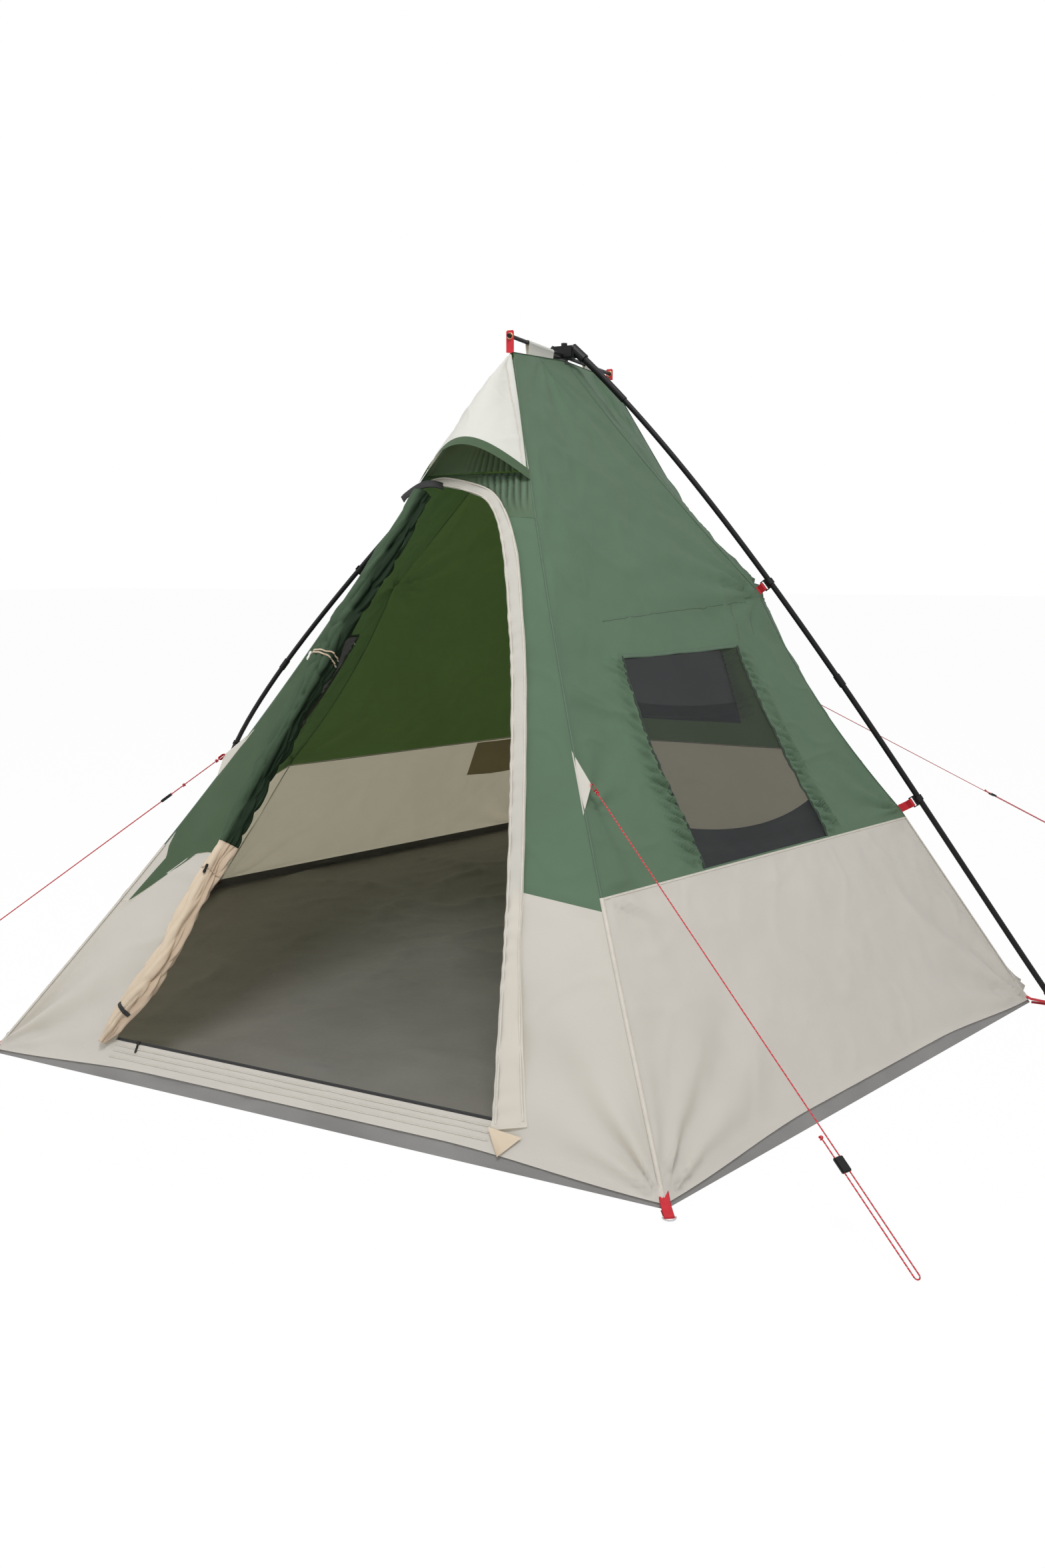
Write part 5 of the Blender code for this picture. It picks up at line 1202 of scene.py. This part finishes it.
def make_flap():
    """The cream flap over the door's zip, with its sewn outer seam and its slightly rippled free edge."""
    path, normal = arch_path(340)
    keep = path[:, 1] > FLAP_FOOT_Z
    path, normal = path[keep], normal[keep]
    u = np.linspace(0, 1, 13)
    length = np.linspace(0, 1, len(path))[:, None]
    width = flap_width(path[:, 1]) * (0.45 + 0.55 * fade(1 - length[:, 0], 0.05))
    flat = path[:, None] + normal[:, None] * (width[:, None] * u[None])[..., None]
    ripple = 0.0016 * np.sin(length * 230 + 3 * np.sin(length * 31)) * (1 - u[None]) + 0.0012 * np.sin(length * 90)
    crown = FLAP_CROWN * np.sin(np.pi * u)[None]
    grid = face_point(flat[..., 0], flat[..., 1], FLAP_PROUD + ripple + crown)
    crumple = 0.0022 * swell(grid, 0.035, 121.0) * (0.35 + 0.65 * (grid[..., 2] < 0.5))
    cloth_sheet("door_flap_look", grid, "cream", ["door_flap"], ["wall_look_front_arch"],
                crumple * fade(reach_in(grid), 0.01))
    for name, share in (("outer", 0.90), ("inner", 0.12)):
        line = path + normal * (width * share)[:, None]
        lift = FLAP_PROUD + FLAP_CROWN * math.sin(math.pi * share) + 0.0012
        points = face_point(line[:, 0], line[:, 1], lift)[2:-2:2]
        strip("flap_seam_" + name, points, np.broadcast_to(FACE_NORMAL, points.shape), 0.0055, 0.0010,
              "seam_cream")
    u, v = shares(12, 12)
    base_left, base_right, tip = (np.array(p) for p in FLAP_TIP)
    low = tip + (base_right - tip) * 0.15 * u[..., None]
    flat = (base_left + (base_right - base_left) * u[..., None]) * v[..., None] + low * (1 - v[..., None])
    grid = face_point(flat[..., 0], flat[..., 1], 0.0085 + 0.002 * np.sin(3 * u + 2 * v))
    cloth_sheet("door_flap_tip", grid, "warm", [], ["door_flap_look"])


def hood_point(across, up):
    """Points of the hood: across 0 to 1 along its rim, up 0 at the rim to 1 at the apex."""
    swelling = np.sin(np.pi * across)
    left, right = -face_half(HOOD_RIM_Z, -1), face_half(HOOD_RIM_Z)
    rim = face_point(left + (right - left) * across, HOOD_RIM_Z + HOOD_RIM_RISE * swelling,
                     0.003 + HOOD_REACH * swelling)
    apex = face_point(0.0, RIDGE_FRONT_Z - 0.004, 0.003)
    puff = HOOD_PUFF * swelling * np.sin(np.pi * np.maximum(up, 0.0))
    return rim + (apex - rim) * up[..., None] + FACE_NORMAL * puff[..., None]


def make_hood():
    """The cream hood, its green hem, and the pleated vent cloth behind it, darkened with the hood's painted shade."""
    across, up = np.meshgrid(np.linspace(0, 1, 90), np.linspace(0, HOOD_TOP_SHARE, 80))
    grid = hood_point(across, up)
    relief = swells(grid, (0.0050, 0.12, 111.0), (0.0024, 0.04, 112.0)) + 0.002 * creases(grid, 0.12, 114.0)
    relief = relief + fan(grid, hood_point(np.array(0.5), np.array(HOOD_TOP_SHARE)), (0.0, -0.6, -1.0), 12, 0.6,
                          0.25, 0.005)
    made = cloth_sheet("hood_look", grid, "hood", ["hood"], ["ridge_rod"], relief * fade(reach_in(grid), 0.02))
    share = np.linspace(0.0, 0.86, 44)
    for name, side in (("right", 1.0), ("left", -1.0)):
        across = 0.5 + side * (0.5 - HOOD_SEAM_INSET / (1 - share))
        path, normals = laid(hood_point(across, share), tree_of(made), 0.0002)
        strip("hood_seam_" + name, path, normals, 0.0050, 0.0010, "seam_cream")
    grid = hood_point(*np.meshgrid(np.linspace(0, 1, 90), np.linspace(-HOOD_HEM_SHARE, 0.004, 12)))
    relief = 0.0012 + 0.0022 * swell(grid, 0.03, 113.0) * fade(reach_in(grid), 0.01)
    cloth_sheet("hood_hem_look", grid, "front_green", [], ["hood_look"], relief)
    u, v = np.meshgrid(np.linspace(-1, 1, 220), np.linspace(0, 1, 40))
    z = CROWN_Z - 0.004 + (RIDGE_FRONT_Z - 0.02 - CROWN_Z) * v

    def vent_relief(grid):
        deep = fade(1 - np.abs(u), 0.2) * fade(1 - v, 0.3)
        return (0.010 * deep * (1 - v) + 0.0090 * np.abs(np.sin(u * 27)) ** 0.8 * fade(u + 0.35, 0.5) * (1 - v)
                + 0.003 * swell(grid, 0.05, 115.0) * deep)
    # Painted shade: the vent cloth is darkened to stand for the hood's shade over it
    face_sheet("hood_vent_look", u * np.where(u < 0, face_half(z, -1), face_half(z)), z, "dark", ["hood_vent"],
               ["ridge_rod"], vent_relief, held="gathered")


def make_sill_zip():
    """The zip's black teeth and tape along the sill's top."""
    x = np.linspace(0, 1, 90)
    z = np.full_like(x, SILL_TOP + 0.0030)
    left, right = door_left(z) + 0.006, arch_x(z) - 0.002
    path = face_point(left + (right - left) * x, z, 0.0006)
    made = strip("door_zip_look", path, np.broadcast_to(FACE_NORMAL, path.shape), 0.0075, 0.0022, "zip",
                 0.8)
    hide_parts("door_zip")


def roll_value(values, z):
    """Read one of the roll's listed values at some heights."""
    k = np.clip(np.searchsorted(ROLL_HEIGHTS, z) - 1, 0, len(ROLL_HEIGHTS) - 2)
    knots, values = np.array(ROLL_HEIGHTS), np.array(values)
    t = np.clip((z - knots[k]) / (knots[k + 1] - knots[k]), 0, 1)
    t = t * t * (3 - 2 * t)
    return values[k] + (values[k + 1] - values[k]) * t


def roll_point(z, angle, deep):
    """Points of the rolled door's skin; deep is the share by which its folds sink in."""
    radius = roll_value(ROLL_RADII, z)
    depth = radius * ROLL_DEPTH
    lean = (DOOR_FOOT_LEFT - DOOR_HEAD_LEFT) / (DOOR_HEAD_Z - FLOOR_RISE)
    along = unit(face_point(lean, 1.0) - face_point(0.0, 0.0))
    across = unit(np.cross(along, FACE_NORMAL))
    centre = face_point(door_left(z) + roll_value(ROLL_SHIFTS, z), z, ROLL_STANDOFF + depth)
    size = 1.0 - deep
    return (centre + across * (np.cos(angle) * (radius * size))[..., None]
            + FACE_NORMAL * (np.sin(angle) * (depth * size))[..., None])


def roll_folds(z, angle):
    """How far the roll's skin sinks in: long creases that wander round it, shallow hollows and small wrinkles."""
    turned = angle + 1.4 * z + 0.5 * np.sin(5.0 * z)
    ring = np.stack([np.cos(turned), np.sin(turned)], -1)

    def field(turns, drift, seed):
        points = np.concatenate([ring * turns, (z * drift)[..., None]], -1)
        return swell(points, 1.0, seed)
    long = 0.32 * np.maximum(0.0, 1 - np.abs(field(0.8, 4.0, 3.0)) * 3.0) ** 1.2
    mid = 0.22 * np.maximum(0.0, 1 - np.abs(field(1.3, 15.0, 5.0)) * 3.2) ** 1.2
    hollow = 0.20 * (0.4 + field(0.8, 9.0, 7.0))
    return long + mid + hollow + 0.05 * field(2.0, 42.0, 9.0)


def make_roll():
    """The rolled door panel in its two colours, with its ties, toggles and straps."""
    skins = []
    for name, low, high, rows, finish in (("cream", ROLL_HEIGHTS[0], ROLL_SEAM_Z, 150, "warm"),
                                          ("green", ROLL_SEAM_Z, ROLL_HEIGHTS[-1], 260, "roll_green")):
        z, angle = np.meshgrid(np.linspace(low, high, rows), np.linspace(0, 2 * np.pi, ROLL_SIDES + 1)[:-1],
                               indexing="ij")
        grid = roll_point(z, angle, roll_folds(z, angle))
        uv = np.stack([angle * ROLL_UV, z], -1)
        shape = grid_mesh("door_roll_look_" + name, grid, finish, uv=uv, closed=True)
        close_ends(shape, ROLL_SIDES, rows)
        piece(shape, finish, ["door_roll_" + name])
        skins.append(shape)
    surface = tree_of(*skins)
    for name, z, radius, count in TIES:
        tie_loop(name, z, radius, count, surface)
    for name, z, angle, finish, size in TOGGLES:
        place, _ = laid(roll_point(np.array([z]), np.array([angle]), np.zeros(1)), surface, size)
        along = unit(face_point(0.28, 1.0) - face_point(0.0, 0.0)) + np.array((0.0, 0.0, 0.2))
        path = place[0] + unit(along) * np.linspace(-TOGGLE_HALF, TOGGLE_HALF, len(TOGGLE_SHAPE))[:, None]
        toggle = tube("door_toggle_" + name, path, size * np.array(TOGGLE_SHAPE), finish, 12)
        close_ends(toggle, 12, len(TOGGLE_SHAPE))
    t = np.linspace(0, 1, 24)
    arched = np.sin(np.pi * t)
    line = face_point(-0.214 + 0.124 * t + 0.018 * arched, 1.476 + 0.036 * t ** 0.6, 0.006 + 0.030 * arched)
    strap = strip("door_strap_top", line, np.broadcast_to(FACE_NORMAL, line.shape), 0.027, 0.0022, "black_web", 0.2)
    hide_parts("door_tie_upper")
    angle = np.linspace(0.5, 2.2, 16)
    path, normals = laid(roll_point(0.146 - 0.010 * np.cos(angle), angle, np.zeros(16)), surface, 0.0006)
    strip("door_strap_foot", path, normals, 0.012, 0.0014, "black_web", 0.2)


def tie_loop(name, z, radius, count, surface):
    """A tie's thin cord, wound round the roll on its visible folds."""
    for number in range(count):
        angle = np.linspace(0, 2 * np.pi, 61)
        height = z + 0.011 * number + 0.006 * np.sin(angle + number)
        path, _ = laid(roll_point(height, angle, np.full(61, 0.10)), surface, radius * 0.9)
        for _ in range(3):
            path[1:-1] = (path[:-2] + 2 * path[1:-1] + path[2:]) / 4
        path[-1] = path[0]
        loop = tube("door_tie_look_%s_%d" % (name, number), path, radius, "tie", 8)
        if number == 0:
            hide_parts("door_tie_" + name)


def make_ground():
    """The groundsheet: a creased floor, its low wavy rim and the red corner webbing."""
    low, high = (np.array([place(z) for place, _ in EDGES.values()]) for z in (0.0, RIM_TOP))
    t = np.arange(90)[:, None] / 90
    ring, rim = (np.vstack([a + (b - a) * t for a, b in zip(line, np.roll(line, -1, 0))]) for line in (low, high))
    from_corner = np.concatenate([np.minimum(t, 1 - t)[:, 0] * np.linalg.norm(b - a)
                                  for a, b in zip(low, np.roll(low, -1, 0))])
    coarse = ring[::3]
    t = (np.linspace(0.03, 1, 60) ** 0.8)[:, None, None]
    grid = coarse[None] * t * FLOOR_INSET + np.array((0.0, 0.0, 0.0022))
    ridge = 0.008 * np.maximum(0, swell(grid, 0.38, 7.0)) + 0.010 * creases(grid, 0.42, 8.0) + 0.006 * creases(
        grid, 0.2, 9.0)
    grid[..., 2] += ridge * fade(1 - t[..., 0], 0.06) + 0.0004
    made = grid_mesh("groundsheet_look", grid, "floor", uv=grid[..., :2].copy(), closed=True)
    close_ring(made, list(range(len(coarse))))
    piece(made, "floor", ["groundsheet"])
    up = np.linspace(0, 1, 12)[:, None, None]
    band = ring[None] * (1 - up) + rim[None] * up
    out = unit(band * LEVEL)
    wave = swells(band, (0.0060, 0.13, 12.0), (0.0036, 0.035, 13.0))
    wave = wave * np.sin(np.pi * np.clip(up[..., 0] / 0.75, 0, 1)) * fade(from_corner, HEM_RISE)[None]
    band = band + out * (wave - RIM_INSET * fade(up[..., 0], 0.5))[..., None]
    band = np.concatenate([band, band[:, :1]], 1)
    run = run_of(band[0])
    uv = np.stack(np.broadcast_arrays(run[None], up[..., 0] * RIM_TOP), -1)
    rim_made = piece(grid_mesh("groundsheet_rim", band, "grey", uv=uv), "grey")
    for corner, name in zip(low, EDGES):
        corner_tab(name, corner)


def corner_tab(name, corner):
    """A doubled strip of red webbing sewn to a floor corner, with its end round the ring's bar."""
    toward = unit(corner * LEVEL)
    bar = corner + toward * (SIDE_TAB if name.startswith("side") else CORNER_TAB) + UP * RING_Z
    radius = RING_WIRE + 0.0008
    upper = [corner - toward * 0.03 + UP * 0.026, corner + toward * 0.002 + UP * 0.0105,
             bar - toward * 0.012 + UP * (radius + 0.0012), bar + UP * radius]
    bend = [bar + toward * radius * math.sin(a) + UP * radius * math.cos(a) for a in np.pi * np.arange(1, 6) / 6]
    lower = [bar - UP * radius, corner + toward * 0.004 + UP * 0.0012]
    path = np.array(upper + bend + lower)
    normals = np.cross(np.cross(toward, UP), unit(np.gradient(path, axis=0)))
    strip("corner_tab_look_" + name, path, normals, TAB_WIDTH, 0.0011, "red", 0.2)


def make_ridge():
    """The green tape over the ridge seam, the cream sleeves sewn to it, and the end tabs' brass rings."""
    y = np.linspace(-RIDGE_HALF - 0.010, RIDGE_HALF + 0.010, 60)
    path = np.stack([0 * y, y, ridge_z(y) + 0.0002], -1)
    tape = strip("ridge_tape_look", path, np.broadcast_to(UP, path.shape), 0.013, 0.0012, "green", 0.3)
    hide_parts("ridge_tape")
    for number, (start, end) in enumerate(SLEEVES):
        y = np.linspace(start, end, 40)
        turn = np.radians(np.linspace(-128, 128, 33))
        grid = np.zeros((len(y), len(turn) + 2, 3))
        grid[:, 1:-1, 0] = SLEEVE_RADIUS * np.sin(turn)
        grid[:, 1:-1, 2] = ROD_Z + SLEEVE_RADIUS * np.cos(turn)
        grid[:, 0, 0], grid[:, -1, 0] = -SLEEVE_FOOT, SLEEVE_FOOT
        grid[:, 0, 2] = grid[:, -1, 2] = ridge_z(y) + 0.0014
        grid[..., 1] = y[:, None]
        grid[:, 1:-1, 0] += grid[:, 1:-1, 0] * (0.06 * swell(grid[:, 1:-1], 0.02, 140.0))
        sleeve = piece(grid_mesh("rod_sleeve_look_%d" % number, grid, "hood"), "hood")
        float(run_of(grid[0])[-1])
    turn = np.linspace(0, 2 * np.pi, 33)
    for end, word in ((-1, "front"), (1, "back")):
        for face in (-1, 1):
            y = end * (RIDGE_HALF + 0.0130) + face * 0.0014
            path = np.stack([GROMMET_RADIUS * np.cos(turn), np.full_like(turn, y),
                             ROD_Z + GROMMET_RADIUS * np.sin(turn)], -1)
            strip("grommet_look_%s_%d" % (word, face + 1), path,
                  np.broadcast_to(np.array((0.0, float(face), 0.0)), path.shape), 0.0030, 0.0006, "brass")


def make_seams(sheets):
    """Sewn-down seams over the corner edges, along the colour change and across the walls."""
    surface = tree_of(*sheets)
    for word, top in (("front_right", 1.90), ("front_left", 1.90), ("back_right", 1.925), ("back_left", 1.925),
                      ("side_right", 1.93), ("side_left", 1.93)):
        for part, low, high, finish, width in (("upper", SEAM_HEIGHT, top, "seam_green", 0.006),
                                               ("lower", 0.012, SEAM_HEIGHT, "seam_cream", 0.011)):
            path = EDGES[word][0](np.linspace(low, high, 60))
            strip("corner_seam_%s_%s" % (word, part), path, unit(path * LEVEL + 0.5 * UP), width, 0.0016, finish)
    for name, wall in WALLS.items():
        path, normals = laid(wall_point(wall, np.linspace(0.004, 0.996, 80), np.full(80, SEAM_HEIGHT - 0.003)),
                             surface, 0.0003)
        strip("level_seam_" + name, path, normals, 0.006, 0.0008, "seam_cream")
    for number, (a, b) in enumerate(WALL_SEAMS):
        path, normals = laid(straight(a, b, 60), surface, 0.0002)
        strip("wall_seam_%d" % number, path, normals, 0.0045, 0.0008, "seam_green")


def make_patches():
    """Cream triangles at the corner edges with their webbing loops."""
    for side, end, word in ((1, -1, "front_right"), (-1, -1, "front_left"),
                            (1, 1, "back_right"), (-1, 1, "back_left")):
        edge = EDGES[word][0]
        top, foot = edge(PATCH_TOP_Z), edge(PATCH_FOOT_Z)
        tip, along = guy_line_direction(side, end)
        outward = unit(np.array((0.0, float(end), face_slope())))
        u, v = shares(12, 18)
        inner = (foot - np.array((side * 0.006, 0.0, 0.0))) + (top - foot) * v[..., None]
        grid = inner + (tip - inner) * u[..., None]
        grid = grid + outward * (0.0014 + 0.0010 * np.sin(np.pi * v) * np.sin(7 * u))[..., None]
        patch = piece(grid_mesh("guy_patch_look_" + word, grid, "cream"), "cream")
        across = unit(np.cross(along, outward))
        start = tip - along * LOOP_BACK
        path = [start - across * 0.0012, start - across * LOOP_HALF + along * 0.006]
        for angle in np.pi * np.arange(9) / 8:
            path.append(start + along * (LOOP_REACH - LOOP_HALF + LOOP_HALF * math.sin(angle))
                        - across * (LOOP_HALF * math.cos(angle)))
        path = np.array(path + [start + across * LOOP_HALF + along * 0.006, start + across * 0.0012])
        normals = np.cross(unit(np.gradient(path, axis=0)), outward)
        strip("guy_loop_look_" + word, path, normals, 0.0080, 0.0010, "red", 0.2)


def make_pocket():
    """The olive organiser pocket inside the left rear skirt."""
    u, v = shares(40, 26)
    grid = wall_point(WALLS["left_back"], 0.03 + 0.26 * u, 0.365 + 0.163 * v)
    bulge = 0.004 + 0.010 * np.sin(np.pi * u) * (1 - 0.7 * v) + 0.002 * swell(grid, 0.05, 130.0)
    cloth_sheet("wall_pocket_look", grid - grid_normals(grid) * bulge[..., None], "olive",
                ["wall_pocket"], ["skirt_look_left_back"])


def dress_nodes():
    """Materials for the CAD nodes, by how their names begin."""
    for name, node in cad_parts.items():
        finish = next(finish for start, finish in NODE_FINISHES if name.startswith(start))
        node.data.materials.clear()
        node.data.materials.append(LOOKS[finish])


make_camera()
make_light()
make_floor()
LOOKS = finishes()
make_cords()
sheets = make_walls() + make_skirts() + make_front()
make_roll()
make_ground()
make_ridge()
make_seams(sheets)
make_patches()
make_pocket()
dress_nodes()
